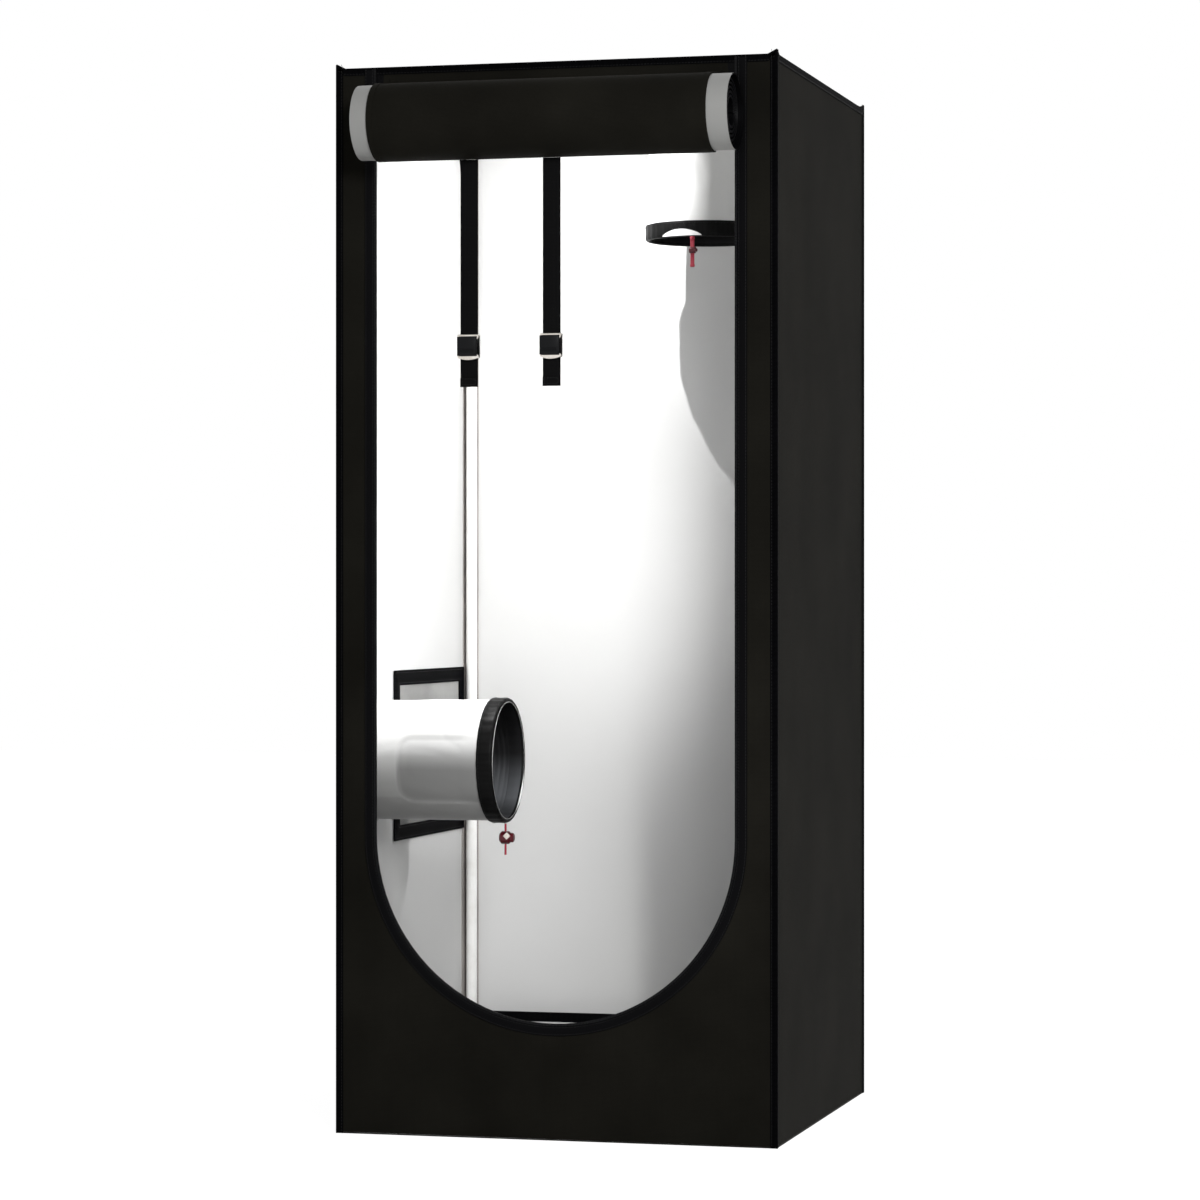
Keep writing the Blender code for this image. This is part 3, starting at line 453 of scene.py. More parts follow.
# Smoother, with a soft shine that runs round the sleeve's mouth and shows its gathers.
HEM_TAPE = WovenCloth("smooth_hem_tape", "#111111", "#0a0a0a", 1.4, 0.42, 0.1, 0.06, rib=0.2)
# Close twill, the darkest cloth: the door's opening has a crisp outline.
ZIP_TAPE = WovenCloth("zip_tape_twill", "#070709", "#030304", 1.0, 0.5, 0.1, 0.04)
# Coarse, even weave with deep relief, which tells the straps from the canvas behind them.
WEBBING = WovenCloth("polyester_webbing", "#161617", "#0d0d0d", 1.8, 0.6, 0.25, 0.02, cloud=0.1)
# Warm grey and matt: it parts the walls where both are lit to white. On the side walls it is partly
# a real tape and partly a painted shadow of the corner pole.
SEAM_TAPE = WovenCloth("inner_seam_tape", "#b4afac", "#989491", 1.2, 0.7, 0.1, 0.2)
# Pale strands, bright against the black frame and dark against the lit wall.
NET = WovenCloth("knitted_net", "#a6a6a4", "#8e8e8d", 0.8, 0.6, 0.1, 0.2)
# Grey film, painted darker towards black as shade inside the sleeve: the sleeve's mouth is a dim,
# smooth hollow.
SLEEVE_BACKING = ReflectiveLining(
    "sleeve_dark_backing", "#55575a", "#161617", 0.45, 2.4, 0.04, 0.15, "handled"
)
# Black with a hint of shine on each stitch, so that the rows stand off the cloth.
THREAD = GrainedSolid("polyester_thread", "#141414", "#202020", 0.5, 0.5, 0.05, shine=0.2)
# Grey white: clean white where it is lit and a true grey in the shade.
LINING = ReflectiveLining("reflective_film_lining", "#cecece", "#c4c4c3", 0.38, 3.5, 0.05)
# The same film painted a step greyer, as painted shade on the slack roll seen at a slant, with the
# roll's turns drawn in it.
SHADED_DOOR_LINING = ReflectiveLining("satin_door_lining", "#a8a8a6", "#9c9c9a", 0.4, 3.5, 0.05)
# Whiter film on soft cloth. Its grey is painted shade on the wall sleeve's lower side and in its
# hollow, and a faint even tone on the roof's sleeve.
SLEEVE_CLOTH = ReflectiveLining(
    "sleeve_film_lining", "#e0e0df", "#888887", 0.36, 4.5, 0.12, handled="handled"
)
# White film for the painted highlights at the sleeves' mouths, the brightest line in the dark
# mouth.
PAINTED_HIGHLIGHT = ReflectiveLining("turned_film_edge", "#f2f2f2", "#ebebea", 0.4, 4.5, 0.1)
# Hard white paint with a long soft highlight down each pole.
POWDER_COAT = GrainedSolid("white_powder_coat", "#f0f0ee", "#e6e5e2", 0.32, 1.2, 0.02)
# Black plastic with the fine grain of its mould, duller than the levers.
MOULDED = GrainedSolid("moulded_polypropylene", "#101011", "#191919", 0.42, 0.9, 0.03, shine=0.25)
# Denser, bluer black that takes a narrow highlight along its edges.
LEVER_PLASTIC = GrainedSolid("moulded_acetal", "#060709", "#0d0e11", 0.36, 0.8, 0.02, shine=0.15)
# Satin black coil: a string of small glints in the dull tape.
COIL_PLASTIC = GrainedSolid("zip_coil_nylon", "#0a0a0c", "#131316", 0.4, 0.5, 0.02, shine=0.15)
# Bright, slightly warm metal with drawn streaks: the only thing on the front that mirrors.
PLATED = GrainedSolid(
    "nickel_plated_steel", "#e6e1da", "#cdc6bc", 0.28, 0.6, 0.01, metallic=1.0, stretch=(1, 1, 9)
)
# Black lacquer worn a little brighter, for the zip's small metal parts.
ZIP_METAL = GrainedSolid("black_lacquered_zinc", "#0c0c0d", "#1d1d1f", 0.38, 0.7, 0.02, shine=0.3)
# Two reds in a slanting braid, the tent's one strong colour.
CORD = BraidedCord("braided_polyester_cord", "#d63a55", "#8e1a2d", 1.0, 0.5)
# Deep red plastic with a clear shine, a shade darker than its cord.
LOCK_PLASTIC = GrainedSolid("glossy_acetal", "#4a0f19", "#641824", 0.3, 1.0, 0.01, shine=0.4)


def lofted(
    rows: Sequence[Sequence[Vector]], ring_rows: bool = False, ring_points: bool = False
) -> BMesh:
    """Joins rows of points into a grid of faces with UVs in metres.

    Args:
        rows: Rows with the same number of points each.
        ring_rows: Whether the last row joins the first.
        ring_points: Whether each row's last point joins its first.

    Returns:
        The grid. Its faces look along (point direction) x (row direction).
    """
    bm = bmesh.new()
    layer = bm.loops.layers.uv.new(UV_NAME)
    grid = [[bm.verts.new(point) for point in row] for row in rows]
    along = measured(rows[len(rows) // 2], ring_points)
    down = measured([row[0] for row in rows], ring_rows)
    for i in range(len(down) - 1):
        for j in range(len(along) - 1):
            corners = [(i, j), (i, j + 1), (i + 1, j + 1), (i + 1, j)]
            verts = [grid[a % len(rows)][b % len(rows[0])] for a, b in corners]
            face = bm.faces.new(verts)
            for loop, (a, b) in zip(face.loops, corners):
                loop[layer].uv = (along[b], down[a])
    return bm


def slab(
    outer: Sequence[Sequence[Vector]],
    inner: Sequence[Sequence[Vector]],
    finishes: Sequence[Finish],
    ring: bool = False,
    capped: bool = False,
) -> Mesh:
    """Closes two matching grids of points into one sheet of cloth.

    Args:
        outer: The rows of points of one face.
        inner: The rows of points of the other.
        finishes: The finish of the outer face and of the inner, and of the rim if it has its own.
        ring: Whether each row closes on itself.
        capped: Whether a ring's last row is filled in.

    Returns:
        The sheet, with its finishes.
    """
    bm = bmesh.new()
    layer = bm.loops.layers.uv.new(UV_NAME)
    across = measured(outer[len(outer) // 2], ring)
    down = measured([row[0] for row in outer], False)
    sides = [[[bm.verts.new(spot) for spot in row] for row in side] for side in (outer, inner)]
    rows, count = len(outer), len(outer[0])
    for number, side in enumerate(sides):
        for i in range(rows - 1):
            for j in range(count if ring else count - 1):
                spots = [(i, j), (i, j + 1), (i + 1, j + 1), (i + 1, j)]
                face = bm.faces.new([side[a][b % count] for a, b in spots])
                face.material_index = number
                for loop, (a, b) in zip(face.loops, spots):
                    loop[layer].uv = (across[b], down[a])
        if capped:
            bm.faces.new(side[-1]).material_index = number
    for rim in sheet_rims(rows, count, ring, capped):
        for (a, b), (c, d) in rim:
            face = bm.faces.new((sides[0][a][b], sides[0][c][d], sides[1][c][d], sides[1][a][b]))
            face.material_index = 2 if len(finishes) > 2 else 0
            for loop in face.loops:
                loop[layer].uv = (across[b], down[a])
    mesh = as_mesh(bm, "sheet", outwards=True)
    for finish in finishes:
        mesh.materials.append(finish.material())
    return mesh


def sheet_rims(
    rows: int, count: int, ring: bool, capped: bool
) -> list[list[tuple[tuple[int, int], tuple[int, int]]]]:
    """Walks round the open edges of a grid.

    Args:
        rows: The number of its rows.
        count: The number of points in each row.
        ring: Whether each row closes on itself.
        capped: Whether a ring's last row is filled in.

    Returns:
        For each edge, the pairs of neighbouring places as (row, point).
    """
    if ring:
        ends = [0] if capped else [0, rows - 1]
        return [[((row, j), (row, (j + 1) % count)) for j in range(count)] for row in ends]
    top, foot, last = 0, rows - 1, count - 1
    loop = [(top, j) for j in range(count)]
    loop += [(i, last) for i in range(1, rows)]
    loop += [(foot, j) for j in range(last - 1, -1, -1)]
    loop += [(i, 0) for i in range(foot - 1, 0, -1)]
    return [list(zip(loop, [*loop[1:], loop[0]]))]


def swept(
    path: Sequence[Vector], section: Callable[[int], Sequence[Vector]], ring: bool = False
) -> Mesh:
    """Carries a closed section along a path.

    Args:
        path: The points of the path.
        section: Gives the section's corners, as offsets from the path, at each point's number.
        ring: Whether the path closes on itself; otherwise its ends are filled in.

    Returns:
        The closed shape.
    """
    rows = [[spot + offset for offset in section(i)] for i, spot in enumerate(path)]
    bm = lofted(rows, ring_rows=ring, ring_points=True)
    if not ring:
        bm.verts.ensure_lookup_table()
        count = len(rows[0])
        bm.faces.new([bm.verts[k] for k in range(count)])
        bm.faces.new([bm.verts[-1 - k] for k in range(count)])
    return as_mesh(bm, "swept", outwards=True)


def merged(meshes: Sequence[Mesh]) -> Mesh:
    """Puts several meshes, which lie apart or cross, into one.

    Args:
        meshes: The meshes.

    Returns:
        The one mesh.
    """
    bm = bmesh.new()
    for mesh in meshes:
        bm.from_mesh(mesh)
    return as_mesh(bm, "merged")


def aimed(axis: Vector, at: Vector) -> Matrix:
    """Places a shape.

    Args:
        axis: Where its own Z goes.
        at: Where its origin goes.

    Returns:
        The placing.
    """
    turn = Vector((0, 0, 1)).rotation_difference(axis).to_matrix().to_4x4()
    return Matrix.Translation(at) @ turn


def rounded_ring(
    half_w: float, half_h: float, radius: float, per_side: int, bend: int = 5
) -> list[tuple[Vector, Vector]]:
    """Walks round a rectangle with round corners.

    Args:
        half_w: Half its width.
        half_h: Half its height.
        radius: Its corners' radius.
        per_side: The number of stretches on each side.
        bend: The number of stretches on each corner.

    Returns:
        Each station's place and outward direction, with no depth.
    """
    stations = []
    signs = [(1, 1), (-1, 1), (-1, -1), (1, -1)]
    for quarter, (sx, sy) in enumerate(signs):
        centre = Vector((sx * (half_w - radius), sy * (half_h - radius), 0))
        for i in range(bend + 1):
            turn = math.pi / 2 * (quarter + i / bend)
            out = Vector((math.cos(turn), math.sin(turn), 0))
            stations.append((centre + out * radius, out))
        nx, ny = signs[(quarter + 1) % 4]
        goal = Vector((nx * (half_w - radius), ny * (half_h - radius), 0)) + out * radius
        here = stations[-1][0]
        stations += [(here.lerp(goal, i / per_side), out) for i in range(1, per_side)]
    return stations


def measured(line: Sequence[Vector], ring: bool) -> list[float]:
    """Measures along a line.

    Args:
        line: Its points.
        ring: Whether the last point joins the first.

    Returns:
        The distance run at each point, with one more entry for a ring.
    """
    points = [*line, line[0]] if ring else list(line)
    runs = [0.0]
    for one, two in zip(points, points[1:]):
        runs.append(runs[-1] + (two - one).length)
    return runs


def as_mesh(bm: BMesh, name: str, outwards: bool = False) -> Mesh:
    """Turns bm into a smooth mesh.

    Args:
        bm: The mesh being edited, which is freed.
        name: The mesh's name.
        outwards: Whether to merge its doubles and turn its faces out, for a closed shape.

    Returns:
        The mesh.
    """
    if outwards:
        bmesh.ops.remove_doubles(bm, verts=bm.verts, dist=0.01 * MM)
        bmesh.ops.recalc_face_normals(bm, faces=bm.faces)
    mesh = bpy.data.meshes.new(name)
    bm.to_mesh(mesh)
    bm.free()
    mesh.shade_smooth()
    return mesh


def evaluated(item: Object) -> Mesh:
    """Takes an object's mesh as its modifiers leave it, and removes the object.

    Args:
        item: The object.

    Returns:
        The new mesh.
    """
    graph = bpy.context.evaluated_depsgraph_get()
    made = bpy.data.meshes.new_from_object(item.evaluated_get(graph))
    bpy.data.objects.remove(item)
    return made


def grown(mesh: Mesh, tree: NodeTree, values: dict[str, Any]) -> Mesh:
    """Runs a Geometry Nodes tree on a mesh.

    Args:
        mesh: The mesh to start from.
        tree: The tree.
        values: What its named inputs are set to.

    Returns:
        The mesh that the tree makes.
    """
    host = bpy.data.objects.new(mesh.name, mesh)
    bpy.context.scene.collection.objects.link(host)
    modifier = host.modifiers.new("grow", "NODES")
    modifier.node_group = tree
    for socket in tree.interface.items_tree:
        if socket.item_type == "SOCKET" and socket.name in values:
            modifier[socket.identifier] = values[socket.name]
    return evaluated(host)


def box_uv(mesh: Mesh) -> None:
    """Gives each face UVs in metres, seen square on along its main axis.

    Args:
        mesh: The mesh to mark.
    """
    layer = mesh.uv_layers.get(UV_NAME) or mesh.uv_layers.new(name=UV_NAME)
    for face in mesh.polygons:
        normal = face.normal
        across, up, _ = WAYS[max(range(3), key=lambda axis: abs(normal[axis]))]
        for i in face.loop_indices:
            spot = mesh.vertices[mesh.loops[i].vertex_index].co
            layer.data[i].uv = (spot[across], spot[up])


def piece(
    name: str,
    mesh: Mesh,
    finishes: Sequence[Finish],
    body: str = "tent",
    replaced: Sequence[str] = (),
    sharp: float = 35.0,
) -> Object:
    """Puts a finished mesh in the scene as one piece.

    Args:
        name: The piece's name.
        mesh: Its mesh, in place.
        finishes: Its finishes, in the order of the mesh's material numbers.
        body: The frame body that it moves with.
        replaced: The frame nodes that it stands for.
        sharp: The angle in degrees above which an edge stays sharp.

    Returns:
        The piece.
    """
    mesh.name = name
    for finish in finishes[len(mesh.materials) :]:
        mesh.materials.append(finish.material())
    mesh.set_sharp_from_angle(angle=math.radians(sharp))
    made = bpy.data.objects.new(name, mesh)
    bpy.context.scene.collection.objects.link(made)
    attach(made, body)
    if replaced:
        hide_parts(*replaced)
    return made


def cut(base: Mesh, tool: Mesh) -> Mesh:
    """Cuts one closed mesh out of another.

    Args:
        base: The mesh that stays.
        tool: The mesh that is taken from it.

    Returns:
        The new mesh.
    """
    stock = bpy.data.objects.new("stock", base)
    cutter = bpy.data.objects.new("cutter", tool)
    for item in (stock, cutter):
        bpy.context.scene.collection.objects.link(item)
    step = stock.modifiers.new("step", "BOOLEAN")
    step.object = cutter
    step.operation = "DIFFERENCE"
    made = evaluated(stock)
    bpy.data.objects.remove(cutter)
    return made


def prism(outline: Sequence[Flat], low: float, high: float, plane: Matrix) -> Mesh:
    """A closed block with a flat outline.

    Args:
        outline: Its corners as (across, up).
        low: Where it starts, deep.
        high: Where it ends, deep.
        plane: The placing from (across, up, deep) to the frame.

    Returns:
        The block's mesh.
    """
    bm = bmesh.new()
    rings = [[bm.verts.new(plane @ Vector((a, b, d))) for a, b in outline] for d in (low, high)]
    for i in range(len(outline)):
        bm.faces.new((rings[0][i - 1], rings[0][i], rings[1][i], rings[1][i - 1]))
    for ring in rings:
        bm.faces.new(ring)
    return as_mesh(bm, "prism", outwards=True)


def facing(axis: int) -> Matrix:
    """Places a flat drawing on a wall.

    Args:
        axis: The frame axis that the wall faces along.

    Returns:
        The placing from (across, up, deep) to the frame.
    """
    rows = [[float(WAYS[axis][col] == row) for col in range(3)] + [0.0] for row in range(3)]
    return Matrix([*rows, [0.0, 0.0, 0.0, 1.0]])


def rectangle(low: Flat, high: Flat) -> list[Flat]:
    """The corners of a rectangle, anticlockwise from its low one."""
    return [low, (high[0], low[1]), high, (low[0], high[1])]


def arc(centre: Flat, radius: float, start: float, end: float, steps: int) -> list[Flat]:
    """Draws part of a circle.

    Args:
        centre: Its centre.
        radius: Its radius.
        start: The first point's angle.
        end: The last point's angle.
        steps: The number of stretches between them.

    Returns:
        The points, with both ends.
    """
    turns = [start + (end - start) * i / steps for i in range(steps + 1)]
    return [(centre[0] + radius * math.cos(t), centre[1] + radius * math.sin(t)) for t in turns]


def spread(low: float, high: float, step: float) -> list[float]:
    """Even stations from low to high, about one step apart."""
    count = max(1, round((high - low) / step))
    return [low + (high - low) * i / count for i in range(count + 1)]


def tube(path: Sequence[Vector], radii: Sequence[float], sides: int) -> BMesh:
    """A round bar with closed ends along a path.

    Args:
        path: The points of its centreline.
        radii: Its radius at each point.
        sides: The number of its sides.

    Returns:
        The bar.
    """
    rows = []
    lengthways = abs((path[1] - path[0]).normalized().x) > 0.9
    start = Vector((0, 1, 0)) if lengthways else Vector((1, 0, 0))
    for i, point in enumerate(path):
        along = (path[min(i + 1, len(path) - 1)] - path[max(i - 1, 0)]).normalized()
        side = (start - along * start.dot(along)).normalized()
        up = along.cross(side)
        turns = [math.tau * k / sides for k in range(sides)]
        rows.append([point + (side * math.cos(t) + up * math.sin(t)) * radii[i] for t in turns])
    bm = lofted(rows, ring_points=True)
    bm.verts.ensure_lookup_table()
    bm.faces.new([bm.verts[k] for k in range(sides)])
    bm.faces.new([bm.verts[-1 - k] for k in range(sides)])
    return bm


def bevelled(mesh: Mesh, width: float) -> Mesh:
    """Rounds a closed mesh's sharp edges.

    Args:
        mesh: The mesh to take.
        width: The width of the round.

    Returns:
        The new mesh.
    """
    bm = bmesh.new()
    bm.from_mesh(mesh)
    edges = [edge for edge in bm.edges if edge.calc_face_angle(0) > math.radians(40)]
    bmesh.ops.bevel(bm, geom=edges, offset=width, segments=2, affect="EDGES", profile=0.5)
    return as_mesh(bm, mesh.name, outwards=True)


class Grain(Enum):
    """The small shape that a row repeats."""

    STITCH = "GeometryNodeMeshUVSphere"
    BLOCK = "GeometryNodeMeshCube"


@dataclass(frozen=True)
class Row:
    """A Geometry Nodes tree that lays copies of a small shape along a path, such as stitches.

    Each copy's length lies along the path, and its height stands towards the row's face. The
    face is one direction, or for a ring the direction away from the ring's centre.
    """

    name: str
    grain: Grain
    pitch: float
    length: float
    width: float
    height: float
    finish: Finish

    SOCKETS: ClassVar[dict[str, str]] = {
        "Path": "NodeSocketGeometry",
        "Pitch": "NodeSocketFloat",
        "Size": "NodeSocketVector",
        "Face": "NodeSocketVector",
        "Centre": "NodeSocketVector",
        "Outwards": "NodeSocketFloat",
        "Uneven": "NodeSocketFloat",
        "Seed": "NodeSocketInt",
        "Finish": "NodeSocketMaterial",
    }

    @cache
    def tree(self) -> NodeTree:
        """Builds the tree for this row's kind of shape.

        Returns:
            The tree.
        """
        name = f"{self.name}_{self.grain.name.lower()}"
        tree = bpy.data.node_groups.new(name, "GeometryNodeTree")
        for socket, kind in self.SOCKETS.items():
            tree.interface.new_socket(socket, in_out="INPUT", socket_type=kind)
        tree.interface.new_socket("Row", in_out="OUTPUT", socket_type="NodeSocketGeometry")
        given = add_node(tree, "NodeGroupInput").outputs
        line = add_node(tree, "GeometryNodeMeshToCurve", {"Mesh": given["Path"]})
        spots = add_node(
            tree,
            "GeometryNodeCurveToPoints",
            {"Curve": line.outputs["Curve"], "Length": given["Pitch"]},
            mode="LENGTH",
        )
        here = add_node(tree, "GeometryNodeInputPosition").outputs["Position"]
        away = add_node(
            tree, "ShaderNodeVectorMath", {0: here, 1: given["Centre"]}, operation="SUBTRACT"
        )
        ringed = add_node(
            tree,
            "ShaderNodeVectorMath",
            {0: away.outputs[0], "Scale": given["Outwards"]},
            operation="SCALE",
        )
        face = add_node(
            tree, "ShaderNodeVectorMath", {0: ringed.outputs[0], 1: given["Face"]}, operation="ADD"
        )
        stood = add_node(
            tree, "FunctionNodeAlignRotationToVector", {"Vector": face.outputs[0]}, axis="Z"
        )
        laid = add_node(
            tree,
            "FunctionNodeAlignRotationToVector",
            {"Rotation": stood.outputs[0], "Vector": spots.outputs["Tangent"]},
            axis="X",
            pivot_axis="Z",
        )
        least = add_node(
            tree, "ShaderNodeMath", {1: given["Uneven"]}, {0: 1.0}, operation="SUBTRACT"
        )
        most = add_node(tree, "ShaderNodeMath", {1: given["Uneven"]}, {0: 1.0}, operation="ADD")
        vary = add_node(
            tree,
            "FunctionNodeRandomValue",
            {2: least.outputs[0], 3: most.outputs[0], "Seed": given["Seed"]},
        )
        size = add_node(
            tree,
            "ShaderNodeVectorMath",
            {0: given["Size"], "Scale": vary.outputs[1]},
            operation="SCALE",
        )
        shape = self.shape(tree)
        copies = add_node(
            tree,
            "GeometryNodeInstanceOnPoints",
            {
                "Points": spots.outputs["Points"],
                "Instance": shape,
                "Rotation": laid.outputs[0],
                "Scale": size.outputs[0],
            },
        )
        real = add_node(tree, "GeometryNodeRealizeInstances", {0: copies.outputs[0]})
        dressed = add_node(
            tree, "GeometryNodeSetMaterial", {0: real.outputs[0], "Material": given["Finish"]}
        )
        add_node(tree, "NodeGroupOutput", {0: dressed.outputs[0]})
        return tree

    def shape(self, tree: NodeTree) -> NodeSocket:
        """Adds the small shape, one unit across, to the tree.

        Args:
            tree: The tree.

        Returns:
            The shape's socket.
        """
        if self.grain is Grain.BLOCK:
            return add_node(tree, self.grain.value).outputs["Mesh"]
        ball = {"Segments": 6, "Rings": 3, "Radius": 0.5}
        return add_node(tree, self.grain.value, values=ball).outputs["Mesh"]

    def laid(
        self,
        name: str,
        paths: Sequence[Sequence[Vector]],
        face: Vector,
        centre: Vector | None = None,
        closed: bool = False,
        body: str = "tent",
    ) -> Object:
        """Lays the row along paths, as one piece.

        Args:
            name: The piece's name.
            paths: Lines of points.
            face: The way that the copies' tops look, or zero for a ring.
            centre: A ring's centre.
            closed: Whether each path is a ring.
            body: The frame body that the row moves with.

        Returns:
            The row as a plain mesh piece.
        """
        line = bpy.data.meshes.new(name)
        points, edges = [], []
        for path in paths:
            start = len(points)
            points += [tuple(point) for point in path]
            edges += [(start + i, start + i + 1) for i in range(len(path) - 1)]
            if closed:
                edges.append((len(points) - 1, start))
        line.from_pydata(points, edges, [])
        values = {
            "Pitch": self.pitch,
            "Size": (self.length, self.width, self.height),
            "Face": tuple(face),
            "Centre": tuple(centre or Vector()),
            "Outwards": 1.0 if centre else 0.0,
            "Uneven": 0.06,
            "Seed": len(points),
            "Finish": self.finish.material(),
        }
        mesh = grown(line, self.tree(), values)
        box_uv(mesh)
        mesh.shade_smooth()
        return piece(name, mesh, [self.finish], body)


TEETH = Row("tooth", Grain.BLOCK, 2.0 * MM, 1.15 * MM, 3.0 * MM, 1.3 * MM, COIL_PLASTIC)
STITCHES = Row("stitch", Grain.STITCH, 4.2 * MM, 3.2 * MM, 0.7 * MM, 0.6 * MM, THREAD)


@dataclass(frozen=True)
class Panel:
    """One canvas wall: a sheet with its lining, slack enough to ripple between its seams.

    The ripples are slow across and slower up, with quick ones over them, and they die out within
    the calm distance of a seam or an opening. Openings are cut clear through.
    """

    node: str
    deep_axis: int
    outward: int
    wave: float = 0.0011
    cell: float = 0.015
    calm: float = 0.045
    clear: float = 0.02
    slow_pace: Flat = (4.2, 2.1)
    quick_pace: Flat = (13.0, 6.0)
    quick_share: float = 0.25

    @cache
    def spans(self) -> tuple[Flat, Flat, Flat]:
        """The node's box as (low, high) across, up and deep."""
        low, high = node_box(self.node)
        return tuple((low[axis], high[axis]) for axis in WAYS[self.deep_axis])

    def built(self, cuts: Sequence[Sequence[Flat]], still: Sequence[tuple[Flat, Flat]]) -> Mesh:
        """Makes the rippled sheet and cuts its openings.

        Args:
            cuts: Outlines of the openings as (across, up).
            still: Boxes in (across, up) where the sheet lies flat, as low and high corners.

        Returns:
            The closed sheet, with its lining inside.
        """
        (left, right), (low, high), (near, _) = self.spans()
        columns = [left, *spread(left + TIP_RUN, right - TIP_RUN, self.cell), right]
        rows = [low, *spread(low + TIP_RUN, high - TIP_RUN, self.cell), high]
        far = near + CLOTH
        plane = facing(self.deep_axis)
        faces = []
        for deep in (far, near) if self.outward > 0 else (near, far):
            face = []
            for up in rows:
                line = []
                for across in columns:
                    lift = self.ripple(across, up, still) * self.outward
                    lift += self.tip(across, up) if self.deep_axis == 2 else 0
                    line.append(plane @ Vector((across, self.height(across, up), deep + lift)))
                face.append(line)
            faces.append(face)
        mesh = slab(faces[0], faces[1], [CANVAS, LINING])
        for outline in cuts:
            tool = prism(outline, near - self.clear, far + self.clear, plane)
            mesh = cut(mesh, tool)
        return mesh

    def height(self, across: float, up: float) -> float:
        """Lets a wall's top edge down between the raised tips.

        Args:
            across: A point's place across.
            up: Its height in an even grid.

        Returns:
            Its height.
        """
        if self.deep_axis == 2:
            return up
        (left, right), (low, high), _ = self.spans()
        drop = TIP_RISE * min((across - left) / TIP_RUN, (right - across) / TIP_RUN, 1)
        return low + (up - low) * (high - drop - low) / (high - low)

    def tip(self, across: float, up: float) -> float:
        """Pushes the roof's corners up.

        Args:
            across: A point's place across.
            up: Its place on the other axis.

        Returns:
            How far it is pushed up.
        """
        (left, right), (low, high), _ = self.spans()
        if self.outward < 0:
            return 0
        side = max(0, 1 - min(across - left, right - across) / TIP_RUN)
        return TIP_RISE * side * max(0, 1 - min(up - low, high - up) / TIP_RUN)

    def ripple(self, across: float, up: float, still: Sequence[tuple[Flat, Flat]]) -> float:
        """Ripples the cloth.

        Args:
            across: A point's place across.
            up: Its place on the other axis.
            still: Boxes where the cloth lies flat, as low and high corners.

        Returns:
            How far it stands out.
        """
        (left, right), (low, high), _ = self.spans()
        free = min(across - left, right - across, up - low, high - up)
        for (x0, y0), (x1, y1) in still:
            gap = math.hypot(max(x0 - across, 0, across - x1), max(y0 - up, 0, up - y1))
            free = min(free, gap)
        if free <= 0:
            return 0.0
        seed = sum(ord(letter) for letter in self.node)
        (slow_x, slow_y), (quick_x, quick_y) = self.slow_pace, self.quick_pace
        slow = noise.noise(Vector((across * slow_x, up * slow_y, seed)))
        quick = noise.noise(Vector((across * quick_x, up * quick_y, seed + 9)))
        return self.wave * (slow + self.quick_share * quick) * smooth_step(free / self.calm)


